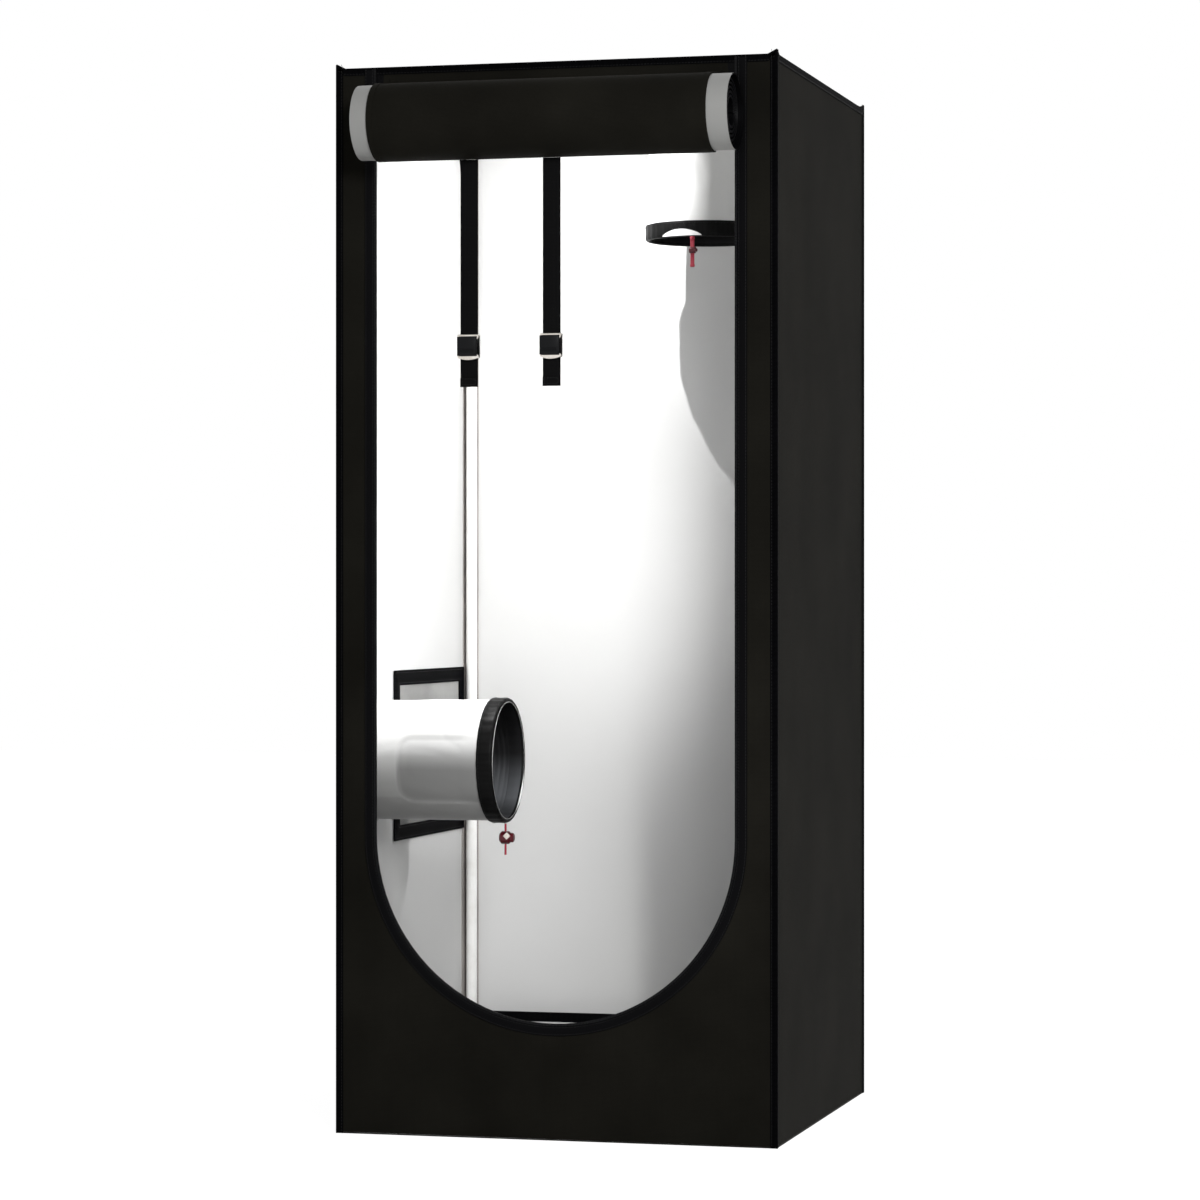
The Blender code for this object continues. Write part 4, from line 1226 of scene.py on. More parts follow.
@dataclass(frozen=True)
class CanvasShell:
    """The tent's six canvas panels and the tapes that bind their edges."""

    tape: float = 0.0008
    leg: float = 0.0085
    bead: float = 0.0016
    seam_leg: float = 0.0200
    seam: float = 0.0006
    stitch_inset: float = 0.0066
    stitch_start: float = 0.0040
    seam_top: float = 1.41
    seam_step: float = 0.03
    seam_foot: float = 0.003
    seam_stitch_in: float = 0.0012
    hem_overlap: float = 0.0050
    steps: int = 48

    def dress(self) -> list[Object]:
        """Makes the panels, their outer edge tape with its stitches, and the inner seams.

        Returns:
            The pieces.
        """
        zip_low, zip_high = node_box("zip_track")
        door_zone = ((zip_low.x, zip_low.z), (zip_high.x, zip_high.z))
        made = [
            self.hung(Panel("front_panel", 1, -1), [self.door_outline()], [door_zone]),
            self.hung(Panel("back_panel", 1, 1), [], []),
            self.hung(Panel("left_panel", 0, -1), *self.left_openings()),
            self.hung(Panel("right_panel", 0, 1), [], []),
            self.hung(Panel("roof_panel", 2, 1), *self.roof_opening()),
            self.hung(Panel("floor_panel", 2, -1, wave=0.0), [], []),
        ]
        made.append(piece("edge_tape", self.edge_tape(), [EDGE_TAPE]))
        made += self.inner_seams()
        made += self.edge_stitches()
        return made

    def hung(
        self, panel: Panel, cuts: Sequence[Sequence[Flat]], still: Sequence[tuple[Flat, Flat]]
    ) -> Object:
        """Puts one panel in place of its node.

        Args:
            panel: The panel.
            cuts: Outlines of its openings.
            still: Boxes where it lies flat.

        Returns:
            The piece.
        """
        (left, right), (low, high), _ = panel.spans()
        mesh = panel.built(cuts, still)
        area = (right - left) * (high - low)
        name = panel.node.replace("panel", "canvas")
        made = piece(name, mesh, [], "tent", [panel.node], sharp=30)
        for outline in cuts:
            inside = [(across, min(up, high)) for across, up in outline]
            ring = [*inside, inside[0]]
            area -= abs(sum(a[0] * b[1] - b[0] * a[1] for a, b in zip(ring, ring[1:]))) / 2
        return made

    def door_outline(self) -> list[Flat]:
        """Draws the door opening, run past the panel's top edge.

        Returns:
            Its outline.
        """
        low, high = node_box("zip_track")
        half = high.x - DoorZip.width
        centre = (0.0, low.z + high.x)
        over = high.z + 2 * TIP_RISE
        return [(half, over), (-half, over), *arc(centre, half, math.pi, math.tau, self.steps)]

    def left_openings(self) -> tuple[list[list[Flat]], list[tuple[Flat, Flat]]]:
        """Draws the left wall's duct hole and vent window.

        Returns:
            Their outlines, and the boxes where they hold the cloth flat.
        """
        low, high = node_box("wall_sleeve")
        flap_low, flap_high = node_box("vent_flap")
        window_low, window_high = Vent().window()
        window = rectangle(window_low, window_high)
        still = [
            ((low.y, low.z), (high.y, high.z)),
            ((flap_low.y, flap_low.z), (flap_high.y, flap_high.z)),
        ]
        return [self.duct_hole("wall", 1, 2), window], still

    def roof_opening(self) -> tuple[list[list[Flat]], list[tuple[Flat, Flat]]]:
        """Draws the roof's duct hole.

        Returns:
            Its outline, and the box where it holds the cloth flat.
        """
        low, high = node_box("roof_sleeve")
        return [self.duct_hole("roof", 0, 1)], [((low.x, low.y), (high.x, high.y))]

    def duct_hole(self, where: str, across: int, up: int) -> list[Flat]:
        """Draws the hole in the cloth inside a sleeve's flange.

        Args:
            where: Which sleeve.
            across: The frame axis that runs across it.
            up: The other axis of the wall.

        Returns:
            The hole's outline.
        """
        low, high = node_box(f"{where}_sleeve")
        hem_low, hem_high = node_box(f"{where}_sleeve_hem")
        centre = ((low[across] + high[across]) / 2, (low[up] + high[up]) / 2)
        radius = (hem_high[across] - hem_low[across]) / 2 - self.hem_overlap
        return arc(centre, radius, 0, math.tau, self.steps * 2)[:-1]

    def edges(self) -> list[tuple[list[Vector], Vector, Vector]]:
        """Draws the tent's outer edges.

        Returns:
            For each edge, its path and the outward ways of its two faces.
        """
        high = node_box("roof_panel")[1]
        top = high.z - TIP_RISE
        sides = []
        for sx in (-1, 1):
            for sy in (-1, 1):
                corner = Vector((sx * high.x, sy * high.y, 0))
                up = [corner, corner + Vector((0, 0, top + TIP_RISE))]
                sides.append((up, Vector((sx, 0, 0)), Vector((0, sy, 0))))
        for axis, reach, far in ((0, high.x, high.y), (1, high.y, high.x)):
            for sign in (-1, 1):
                path = [(-reach, TIP_RISE), (-reach + TIP_RUN, 0)]
                path += [(-along, lift) for along, lift in reversed(path)]
                points = []
                for along, lift in path:
                    spot = Vector((0, 0, top + lift))
                    spot[axis], spot[1 - axis] = along, sign * far
                    points.append(spot)
                out = Vector()
                out[1 - axis] = sign
                sides.append((points, out, Vector((0, 0, 1))))
        return sides

    def edge_tape(self) -> Mesh:
        """Folds the tape round the outer edges, with a bead on the fold.

        Returns:
            The tape's mesh.
        """
        bands = []
        for path, one, two in self.edges():
            fold = [
                (one * math.cos(t) + two * math.sin(t)) * self.bead
                for t in (math.pi / 2 * i / 6 for i in range(7))
            ]
            neck = self.bead * 1.3
            section = [
                -two * self.leg,
                one * self.tape - two * self.leg,
                one * self.tape - two * neck,
                *fold,
                two * self.tape - one * neck,
                two * self.tape - one * self.leg,
                -one * self.leg,
                Vector(),
            ]
            bands.append(swept(path, self.tipped(path, one, two, section)))
        return merged(bands)

    def tipped(
        self, path: Sequence[Vector], one: Vector, two: Vector, section: Sequence[Vector]
    ) -> Callable[[int], list[Vector]]:
        """The tape's section at each point, let down beside a raised tip.

        Args:
            path: The edge's points.
            one: The outward way of its first face.
            two: The outward way of its second face.
            section: The section's corners, as offsets from the edge.

        Returns:
            The section as a function of the point's number.
        """
        upright = two.z == 0
        raised = (len(path) - 1,) if upright else (0, len(path) - 1)
        inward = (one, two) if upright else (one,)

        def at(i: int) -> list[Vector]:
            """The corners at one point.

            Args:
                i: The point's number.

            Returns:
                The offsets from the edge.
            """
            if i not in raised:
                return list(section)
            slope = TIP_RISE / TIP_RUN
            drops = [sum(max(0, -offset.dot(way)) for way in inward) for offset in section]
            return [offset - Vector((0, 0, slope * drop)) for offset, drop in zip(section, drops)]

        return at

    def inner_seams(self) -> list[Object]:
        """Covers the seams in the tent's upright inner corners with flat tapes.

        Returns:
            The tapes, and their stitches for each way that they face.
        """
        low, high = node_box("right_panel")
        bands = []
        rows: dict[tuple[float, ...], list[list[Vector]]] = {}
        for sx in (-1, 1):
            for sy in (-1, 1):
                foot = Vector((sx * low.x, sy * high.y, self.seam_foot))
                in_x, in_y = Vector((-sx, 0, 0)), Vector((0, -sy, 0))
                ups = spread(0, self.seam_top, self.seam_step)
                path = [foot + Vector((0, 0, up)) for up in ups]
                bands.append(swept(path, self.seam_section(path, in_x, in_y)))
                for face, away in ((in_x, in_y), (in_y, in_x)):
                    line = []
                    for spot in path:
                        wide = self.side_leg(spot.z) if face is in_x else self.seam_leg
                        inset = wide - self.seam_stitch_in
                        line.append(spot + away * inset + face * self.seam)
                    rows.setdefault(tuple(face), []).append(line)
        made = [piece("inner_seams", merged(bands), [SEAM_TAPE])]
        names = ("right_facing", "back_facing", "front_facing", "left_facing")
        for name, (face, lines) in zip(names, rows.items()):
            made.append(STITCHES.laid(f"seam_stitches_{name}", lines, Vector(face)))
        return made

    def side_leg(self, height: float) -> float:
        """Widens and narrows the seam tape on the side walls, so that its grey also paints the
        corner pole's shadow.

        Args:
            height: The height of a place on it.

        Returns:
            Its width there.
        """
        lower = 0.0220 - 0.0090 * smooth_step((height - 0.36) / 0.03)
        return lower + 0.0040 * smooth_step((height - 0.60) / 0.04) * (1.4 - height)

    def seam_section(
        self, path: Sequence[Vector], in_x: Vector, in_y: Vector
    ) -> Callable[[int], list[Vector]]:
        """The corner tape's section at each point of its path.

        Args:
            path: The corner's points.
            in_x: The way from the corner along the front or back wall.
            in_y: The way from the corner along the side wall.

        Returns:
            The section as a function of the point's number.
        """

        def at(i: int) -> list[Vector]:
            """The corners at one point.

            Args:
                i: The point's number.

            Returns:
                The offsets from the corner.
            """
            side = self.side_leg(path[i].z)
            return [
                Vector(),
                in_x * self.seam_leg,
                in_x * self.seam_leg + in_y * self.seam,
                (in_x + in_y) * self.seam,
                in_y * side + in_x * self.seam,
                in_y * side,
            ]

        return at

    def edge_stitches(self) -> list[Object]:
        """Lays the stitch rows along the edge tape.

        Returns:
            One piece for each face of the tent.
        """
        faces: dict[tuple[float, ...], list[list[Vector]]] = {}
        for path, one, two in self.edges():
            for out, away in ((one, -two), (two, -one)):
                line = [spot + away * self.stitch_inset + out * self.tape for spot in path]
                line[0] += (line[1] - line[0]).normalized() * self.stitch_start
                faces.setdefault(tuple(out), []).append(line)
        names = ("left", "front", "back", "right", "roof", "roof_sides")
        return [
            STITCHES.laid(f"edge_stitches_{name}", lines, Vector(face))
            for name, (face, lines) in zip(names, faces.items())
        ]


FINISH_BY_START: dict[str, Finish] = {
    "corner_pole": POWDER_COAT,
    "base_rail": POWDER_COAT,
    "top_rail": POWDER_COAT,
    "hanging_bar": POWDER_COAT,
    "corner_base": MOULDED,
    "corner_top": MOULDED,
    "bar_clip": MOULDED,
    "zip_slider": ZIP_METAL,
    "zip_pull": ZIP_METAL,
    "buckle_frame": PLATED,
    "wall_cord_lock": LOCK_PLASTIC,
    "roof_cord_lock": LOCK_PLASTIC,
}


@dataclass(frozen=True)
class Skeleton:
    """The tube frame, its corners, the hanging bars and their clips."""

    def dress(self) -> list[Object]:
        """Gives the rigid pieces that stay their finishes.

        Returns:
            Those pieces.
        """
        made = []
        for item in list(bpy.data.objects):
            for start, finish in FINISH_BY_START.items():
                if item.type == "MESH" and item.name.startswith(start):
                    for slot in item.material_slots:
                        slot.material = finish.material()
                    made.append(item)
        return made


@dataclass(frozen=True)
class DoorZip:
    """The zip round the door opening: its tape, coil and stitches."""

    width: float = 0.0163
    seat: float = 0.0003
    thick: float = 0.0008
    teeth_across: float = 0.0016
    teeth_rise: float = 0.0005
    stitch_rows: tuple[float, float] = (0.0052, 0.0146)
    bend: int = 56
    guard_in: float = 0.0100
    guard_out: float = 0.0120
    guard_height: float = 0.0700
    guard_gap: float = 0.0002
    guard_thick: float = 0.0010

    def dress(self) -> list[Object]:
        """Makes the tape, the teeth and the stitch rows.

        Returns:
            The pieces.
        """
        low, high = node_box("zip_track")
        half = high.x - self.width
        centre = Vector((0, high.y, low.z + high.x))
        top = high.z
        turns = [math.pi + math.pi * i / self.bend for i in range(self.bend + 1)]
        outs = [Vector((math.cos(t), 0, math.sin(t))) for t in turns]
        path = [centre + out * half for out in outs]
        rises = spread(centre.z, top, 0.04)[1:]
        left = [(Vector((-half, centre.y, z)), Vector((-1, 0, 0))) for z in reversed(rises)]
        right = [(Vector((half, centre.y, z)), Vector((1, 0, 0))) for z in rises]
        stations = [*left, *zip(path, outs), *right]
        front = Vector((0, -1, 0))

        def offset(i: int, across: float, deep: float) -> Vector:
            """A place on the tape, from the opening's edge at one point."""
            return stations[i][1] * across + front * deep

        corners = self.section()
        tape = swept(
            [spot for spot, _ in stations],
            lambda i: [offset(i, across, deep) for across, deep in corners],
        )
        made = [piece("zip_tape", tape, [ZIP_TAPE], "tent", ["zip_track"])]
        crown = self.thick + self.seat

        def line(across: float, deep: float) -> list[Vector]:
            """A line along the tape."""
            return [spot + offset(i, across, deep) for i, (spot, _) in enumerate(stations)]

        teeth = line(self.teeth_across, crown + self.teeth_rise)
        made.append(TEETH.laid("zip_teeth", [teeth], front))
        rows = [line(across, crown) for across in self.stitch_rows]
        made.append(STITCHES.laid("zip_stitches", rows, front))
        made.append(self.guards(half, top))
        return made

    def guards(self, half: float, top: float) -> Object:
        """The cloth guards sewn inside the upper ends of the zip, which the sliders park on.

        Args:
            half: Half the opening's width.
            top: The height of the zip's upper end.

        Returns:
            Both guards as one piece.
        """
        back = node_box("front_panel")[1].y
        flaps = []
        for side in (-1, 1):
            edges = sorted((side * (half - self.guard_in), side * (half + self.guard_out)))
            low = top - self.guard_height
            outline = rectangle((edges[0], low), (edges[1], top))
            near = back + self.guard_gap
            block = prism(outline, near, near + self.guard_thick, facing(1))
            flaps.append(bevelled(block, 0.0003))
        mesh = merged(flaps)
        box_uv(mesh)
        return piece("zip_guards", mesh, [ZIP_TAPE], "tent")

    def section(self) -> list[Flat]:
        """Draws the tape's section, with soft edges.

        Returns:
            Its corners as (across, deep).
        """
        low, high = self.seat, self.seat + self.thick
        soft = self.thick / 2
        return [
            (0, low),
            (0, high - soft / 2),
            (soft, high),
            (self.width - soft, high),
            (self.width, high - soft),
            (self.width, low),
        ]


@dataclass(frozen=True)
class RolledDoor:
    """The rolled door with its free tail, and the dark wrap that holds it."""

    radius: float = 0.0521
    strap_room: float = 0.0030
    core: float = 0.0165
    turns: int = 6
    back_gap: float = 0.0050
    drop: float = 0.0780
    tail_half: float = 0.2395
    tail_edge: float = 0.0046
    tail_flare_at: float = 0.0320
    uneven: float = 0.0022
    dent_depth: float = 0.0009
    crease_broad: float = 0.0012
    crease_fine: float = 0.0004
    band_over: float = 0.0005
    band_rise: float = 0.0007
    wrap_step: float = 0.0120
    row_end: float = 0.0080
    tail_band: float = 0.0100
    slid: float = 0.0098
    steps_per_turn: int = 40
    tail_steps: int = 10
    seat: float = 0.0003
    wrap: float = 0.0012
    seam_drop: float = 0.0200
    seam_height: float = 0.0070
    wrap_end: float = math.radians(282)
    wrap_steps: int = 56
    hem: float = 0.0110
    hem_swell: float = 0.0008
    edge_band: float = 0.0075
    trim: float = 0.0050

    def dress(self) -> list[Object]:
        """Makes the roll, its teeth, the wrap, the wrap's bound ends and its stitches."""
        return [self.roll(), self.coil_ends(), *self.wrapping()]

    def centre(self) -> Vector:
        """The roll's middle in the YZ plane, with X at zero."""
        front = node_box("front_panel")[0].y
        return Vector((0, front - self.back_gap - self.radius, self.top() - self.drop))

    def top(self) -> float:
        """The height of the tent's top edge."""
        return node_box("roof_panel")[1].z - TIP_RISE

    def spiral_radius(self, turn: float) -> float:
        """Winds the sheet in steadily towards its core.

        Args:
            turn: The angle, from minus all the turns at the core to zero at the roll's back.

        Returns:
            The radius of the sheet's middle.
        """
        outer = self.radius - CLOTH / 2
        inner = self.core + CLOTH / 2
        return outer + (outer - inner) * turn / (math.tau * self.turns)

    def spiral(self) -> list[Vector]:
        """Draws the rolled sheet's middle line.

        Returns:
            Its points, from the core out to the roll's back.
        """
        middle = self.centre()
        points = []
        for i in range(self.turns * self.steps_per_turn + 1):
            turn = math.tau * (i / self.steps_per_turn - self.turns)
            reach = self.spiral_radius(turn)
            points.append(middle + Vector((0, math.cos(turn), math.sin(turn))) * reach)
        return points

    def tail(self) -> list[Vector]:
        """Draws the door's free length.

        Returns:
            Its points, from the roll's back up to the top edge.
        """
        start = self.spiral()[-1]
        front = node_box("front_panel")[0].y
        end = Vector((0, front + CLOTH / 2, self.top() - CLOTH - self.seat))
        rise = Vector((0, 0, (end.z - start.z) / 3))
        hold = (start, start + rise, end - rise, end)
        points = []
        for i in range(1, self.tail_steps + 1):
            t = i / self.tail_steps
            weights = ((1 - t) ** 3, 3 * t * (1 - t) ** 2, 3 * t * t * (1 - t), t**3)
            points.append(sum((spot * w for w, spot in zip(weights, hold)), Vector()))
        return points

    def roll(self) -> Object:
        """Makes the rolled sheet, with its lining outside and soft dents in its outer turn.

        Returns:
            The piece.
        """
        rolled, tail = self.spiral(), self.tail()
        line = rolled + tail
        half = node_box("door_roll")[1].x
        outer, inner = [], []
        for i, spot in enumerate(line):
            along = (line[min(i + 1, len(line) - 1)] - line[max(i - 1, 0)]).normalized()
            off = Vector((0, along.z, -along.y)) * (CLOTH / 2)
            ease = smooth_step((i - len(rolled) + 1) / len(tail))
            reach = half + (self.tail_half - half) * ease
            near_top = smooth_step((spot.z - self.top() + self.tail_flare_at) / 0.006)
            reach += self.tail_edge * near_top * ease
            wander = 0.5 + 0.5 * noise.noise(Vector((i * 0.11, 3.0, 0)))
            reach -= self.uneven * wander * (1 - ease)
            # The outer turn has slid out at the right, and the turns in it by less.
            turns_in = (len(rolled) - 1 - i) / self.steps_per_turn
            slid = self.slid * (1 - ease) * (1 - 0.6 * smooth_step((turns_in - 0.9) / 0.3))
            outer.append([])
            inner.append([])
            for share in [-1, *spread(-0.96, 0.96, 0.05), 1]:
                x = share * reach + slid * max(0, share) ** 8
                dent = self.dent(x, i / self.steps_per_turn) * (1 - ease)
                inward = (self.centre() - spot).normalized() * dent
                place = spot + inward + Vector((x, 0, 0))
                outer[-1].append(place + off)
                inner[-1].append(place - off)
        # The roll's lining is the greyer copy of the film, a painted shade.
        mesh = slab(outer, inner, [SHADED_DOOR_LINING, CANVAS, ZIP_TAPE])
        for face in mesh.polygons:
            high_up = face.center.z > self.top() - self.drop + self.radius
            if (face.material_index == 1 or high_up) and abs(face.center.x) > half - self.tail_band:
                face.material_index = 2
        made = piece("rolled_door", mesh, [], "tent", ["door_roll"], sharp=50)
        return made

    def dent(self, x: float, turn: float) -> float:
        """How far a turn of the roll is pressed in at a place along it."""
        wave = noise.noise(Vector((x * 9, math.cos(math.tau * turn) * 1.6, turn * 0.8)))
        return self.dent_depth * max(0.0, wave)

    def coil_ends(self) -> Object:
        """Rolls the zip coil on the door's edges up with it.

        Returns:
            The teeth at both ends.
        """
        half = node_box("door_roll")[1].x - 0.0012
        ends = (-half, half + self.slid * 0.4)
        rolled = self.spiral()[: -round(self.steps_per_turn * 1.3)]
        lines = [[spot + Vector((x, 0, 0)) for spot in rolled] for x in ends]
        return TEETH.laid("rolled_zip_teeth", lines, Vector((0, 0, 0)), centre=self.centre())

    def wrap_line(self) -> list[Vector]:
        """Draws the wrap's middle line.

        Returns:
            Its points, from the seam over the roll's front to the lower hem.
        """
        layer = CLOTH / 2 + self.seat + self.wrap / 2
        middle = self.centre()
        height = self.top() - self.seam_drop
        crown = height + self.seam_height
        seam = Vector((0, self.tail_y(height) - layer, height))
        to_seam = seam - middle
        lean = math.atan2(to_seam.z, to_seam.y)
        lean += math.acos((self.radius + self.seat) / to_seam.length)
        points = [Vector((0, self.tail_y(crown) - layer, crown)), seam]
        for i in range(self.wrap_steps + 1):
            turn = lean + (self.wrap_end - lean) * i / self.wrap_steps
            reach = self.spiral_radius(turn - math.tau) + layer
            points.append(middle + Vector((0, math.cos(turn), math.sin(turn))) * reach)
        return points

    def tail_y(self, height: float) -> float:
        """Finds the door's free length.

        Args:
            height: A height.

        Returns:
            How far forward it is there.
        """
        line = [self.spiral()[-1], *self.tail()]
        for one, two in zip(line, line[1:]):
            if one.z <= height <= two.z:
                return one.y + (two.y - one.y) * (height - one.z) / (two.z - one.z)
        return line[-1].y

    def wrapping(self) -> list[Object]:
        """Makes the wrap with its swollen hem.

        Returns:
            The wrap, its bound ends and its stitch rows.
        """
        line = self.wrap_line()
        half = node_box("roll_wrap")[1].x
        runs = measured(line, False)
        middle = self.centre()
        outer, inner = [], []
        for i, spot in enumerate(line):
            out = (spot - middle).normalized() if i > 1 else Vector((0, -1, 0))
            from_end = runs[-1] - runs[i]
            swell = self.hem_swell * (1 - smooth_step((from_end - self.hem) / 0.002))
            outer.append([])
            inner.append([])
            for x in spread(self.trim - half, half, self.wrap_step):
                lift = self.crease(x, runs[i], runs[-1]) if i > 2 else 0.0
                outer[-1].append(spot + Vector((x, 0, 0)) + out * (self.wrap / 2 + swell + lift))
                inner[-1].append(spot + Vector((x, 0, 0)) - out * (self.wrap / 2 - lift / 2))
        mesh = slab(outer, inner, [CANVAS, CANVAS])
        cloth = piece("door_wrap", mesh, [], "tent", ["roll_wrap"], sharp=50)
        bands = [self.end_band(line, edge) for edge in (self.trim - half, half)]
        bound = piece("wrap_ends", merged(bands), [CANVAS], "tent")
        rim = self.wrap / 2 + self.hem_swell
        rows = []
        last = [k for k, run in enumerate(runs) if runs[-1] - run <= self.hem][0]
        for k in (last, len(line) - 2):
            out = (line[k] - middle).normalized()
            ends = [self.trim + self.row_end - half, half - self.row_end]
            for side in ("left", "right"):
                foot, head = node_box(f"strap_{side}")
                ends += [foot.x - self.strap_room, head.x + self.strap_room]
            ends.sort()
            for pair in zip(ends[::2], ends[1::2]):
                rows.append([line[k] + out * rim + Vector((x, 0, 0)) for x in pair])
        out = (line[-2] - middle).normalized()
        stitches = STITCHES.laid("wrap_stitches", rows, out)
        return [cloth, bound, stitches]

    def crease(self, x: float, run: float, length: float) -> float:
        """Puckers the wrap in broad and fine creases.

        Args:
            x: A place along the roll.
            run: The distance from the wrap's upper edge.
            length: The whole of that distance.

        Returns:
            How far the wrap stands out there.
        """
        free = smooth_step(run / 0.03) * smooth_step((length - run) / 0.02)
        broad = max(0.0, noise.noise(Vector((x * 7, run * 9, 5.0))))
        fine = max(0.0, noise.noise(Vector((x * 30, run * 14, 8.0))))
        return (self.crease_broad * broad + self.crease_fine * fine) * free

    def end_band(self, line: Sequence[Vector], edge: float) -> Mesh:
        """The narrow fold along one end of the wrap.

        Args:
            line: The wrap's middle line.
            edge: Where the wrap ends along X.

        Returns:
            The fold's mesh.
        """
        middle = self.centre()
        into = -math.copysign(1, edge)
        near = Vector((-into * self.band_over, 0, 0))
        far = Vector((into * self.edge_band, 0, 0))

        def section(i: int) -> list[Vector]:
            """The fold's corners at one point of the line.

            Args:
                i: The point's number.

            Returns:
                The offsets from the line.
            """
            out = (line[i] - middle).normalized() if i > 1 else Vector((0, -1, 0))
            lift, sink = out * (self.wrap / 2 + self.band_rise), out * -(self.wrap / 2)
            return [near + sink, near + lift * 0.7, lift, far + lift, far + lift * 0.8, far + sink]

        return swept([spot + Vector((edge, 0, 0)) for spot in line], section)


@dataclass(frozen=True)
class HoldDowns:
    """The two webbing straps that hang from the wrap's hem."""

    width: float = 0.0240
    thick: float = 0.0015
    fold: float = 0.0120
    selvedge: float = 0.0014
    step: float = 0.0040
    pressed: float = 0.35
    flare: float = 0.0016
    flare_run: float = 0.0250

    def dress(self) -> list[Object]:
        """Makes both straps and their stitches.

        Returns:
            The pieces.
        """
        made = []
        for side in ("left", "right"):
            low, high = node_box(f"strap_{side}")
            x = (low.x + high.x) / 2
            y = high.y - self.thick / 2
            foot = low.z + self.thick / 2
            flare = self.flare if side == "left" else 0.0
            long = self.band(Vector((x, y, 0)), foot, high.z - self.thick / 2, flare)
            doubled = self.band(Vector((x, y - self.thick, 0)), foot, low.z + self.fold, 0.0)
            mesh = merged([long, doubled, self.turn(x, y - self.thick / 2, low.z)])
            for face in mesh.polygons:
                if abs(face.center.x - x) > self.width / 2 - self.selvedge:
                    face.material_index = 1
            finishes = [WEBBING, EDGE_TAPE]
            name, node = f"{side}_strap", f"strap_{side}"
            made.append(piece(f"{name}_webbing", mesh, finishes, name, [node]))
            made.append(self.stitches(side, Vector((x, y - 1.5 * self.thick, low.z))))
        return made

    def stitches(self, side: str, foot: Vector) -> Object:
        """The box of stitches that holds a strap's doubled end.

        Args:
            side: Which strap.
            foot: The middle of its foot, on its front face.

        Returns:
            The stitches.
        """
        across, low, high = self.width / 2 - 0.003, 0.003, self.fold - 0.0015
        ring = rectangle((-across, low), (across, high))
        line = [foot + Vector((a, 0, b)) for a, b in ring]
        name, front = f"{side}_strap", Vector((0, -1, 0))
        return STITCHES.laid(f"{name}_stitches", [line], front, closed=True, body=name)

    def band(self, at: Vector, low: float, high: float, flare: float) -> Mesh:
        """A flat length of webbing with round selvedges.

        Args:
            at: Its middle, with no height.
            low: Its lower end.
            high: Its upper end.
            flare: How far its left edge stands out at the top, where it is sewn under the wrap.

        Returns:
            The webbing's mesh.
        """
        heights = spread(high, low, -self.step)
        path = [at + Vector((0, 0, z)) for z in heights]

        def section(i: int) -> list[Vector]:
            """The webbing's corners at one point.

            Args:
                i: The point's number.

            Returns:
                The offsets from the path.
            """
            out = flare * max(0, 1 - (high - heights[i]) / self.flare_run) ** 2
            thin = self.pressed + (1 - self.pressed) * smooth_step((high - heights[i]) / self.step)
            return [Vector((a - out if a < 0 else a, b * thin, 0)) for a, b in self.section()]

        return swept(path, section)

    def section(self) -> list[Flat]:
        """Draws the webbing's section: flat, with a rounder, thinner edge on each side.

        Returns:
            Its corners.
        """
        half, deep = self.width / 2, self.thick / 2
        shape = [
            (half - self.selvedge, deep),
            (half - self.selvedge / 3, deep * 0.75),
            (half, 0),
            (half - self.selvedge / 3, -deep * 0.75),
            (half - self.selvedge, -deep),
        ]
        return [*shape, (0.0, -deep), *[(-a, b) for a, b in reversed(shape)], (0.0, deep)]

    def turn(self, x: float, y: float, foot: float) -> Mesh:
        """The turned end between a strap and its doubled length.

        Args:
            x: The strap's middle.
            y: The middle of both thicknesses.
            foot: The strap's lowest height.

        Returns:
            The turned end's mesh.
        """
        half = self.width / 2
        bend = arc((y, foot + self.thick / 2), self.thick, math.pi, math.tau, 8)
        low = [(b, max(c, foot)) for b, c in bend]
        bm = bmesh.new()
        ends = [[bm.verts.new((x + side * half, b, c)) for b, c in low] for side in (-1, 1)]
        for i in range(len(low)):
            bm.faces.new((ends[0][i - 1], ends[0][i], ends[1][i], ends[1][i - 1]))
        for end in ends:
            bm.faces.new(end)
        mesh = as_mesh(bm, "turn", outwards=True)
        box_uv(mesh)
        return mesh


@dataclass(frozen=True)
class CamLever:
    """The plastic lever that clamps a buckle on its strap: a cam with a wide thumb plate."""

    side: str
    plate: float = 0.0012
    short: float = 0.0036
    over: float = 0.0002
    ribs: int = 4
    rib: float = 0.0005
    rib_pitch: float = 0.0016
    soft: float = 0.0004

    def dress(self) -> Object:
        """Makes the cam between the cheeks, the thumb plate over them and its grip ribs.

        Returns:
            The lever as one piece.
        """
        node = f"buckle_lever_{self.side}"
        low, high = node_box(node)
        frame_low, frame_high = node_box(f"buckle_frame_{self.side}")
        radius = (high.y - low.y) / 2
        plane = facing(0)
        cam = [
            *arc((low.y + radius, high.z - radius), radius, 0, math.pi, 14),
            (low.y, low.z + 0.001),
            (low.y + 0.001, low.z),
            (high.y - 0.001, low.z),
            (high.y, low.z + 0.001),
        ]
        left, right = frame_low.x - self.over, frame_high.x - self.short
        front = low.y - self.plate
        face = rectangle((front, low.z), (low.y, high.z))
        blocks = [
            bevelled(prism(cam, low.x, high.x, plane), self.soft / 2),
            bevelled(prism(face, left, right, plane), self.soft),
        ]
        for i in range(self.ribs):
            at = (front, low.z + 0.004 + i * self.rib_pitch)
            grip = arc(at, self.rib, math.pi / 2, math.pi * 3 / 2, 6)
            blocks.append(prism(grip, left + 0.002, right - 0.002, plane))
        name, body = f"{self.side}_thumb_lever", f"{self.side}_lever"
        return piece(name, merged(blocks), [LEVER_PLASTIC], body, [node])


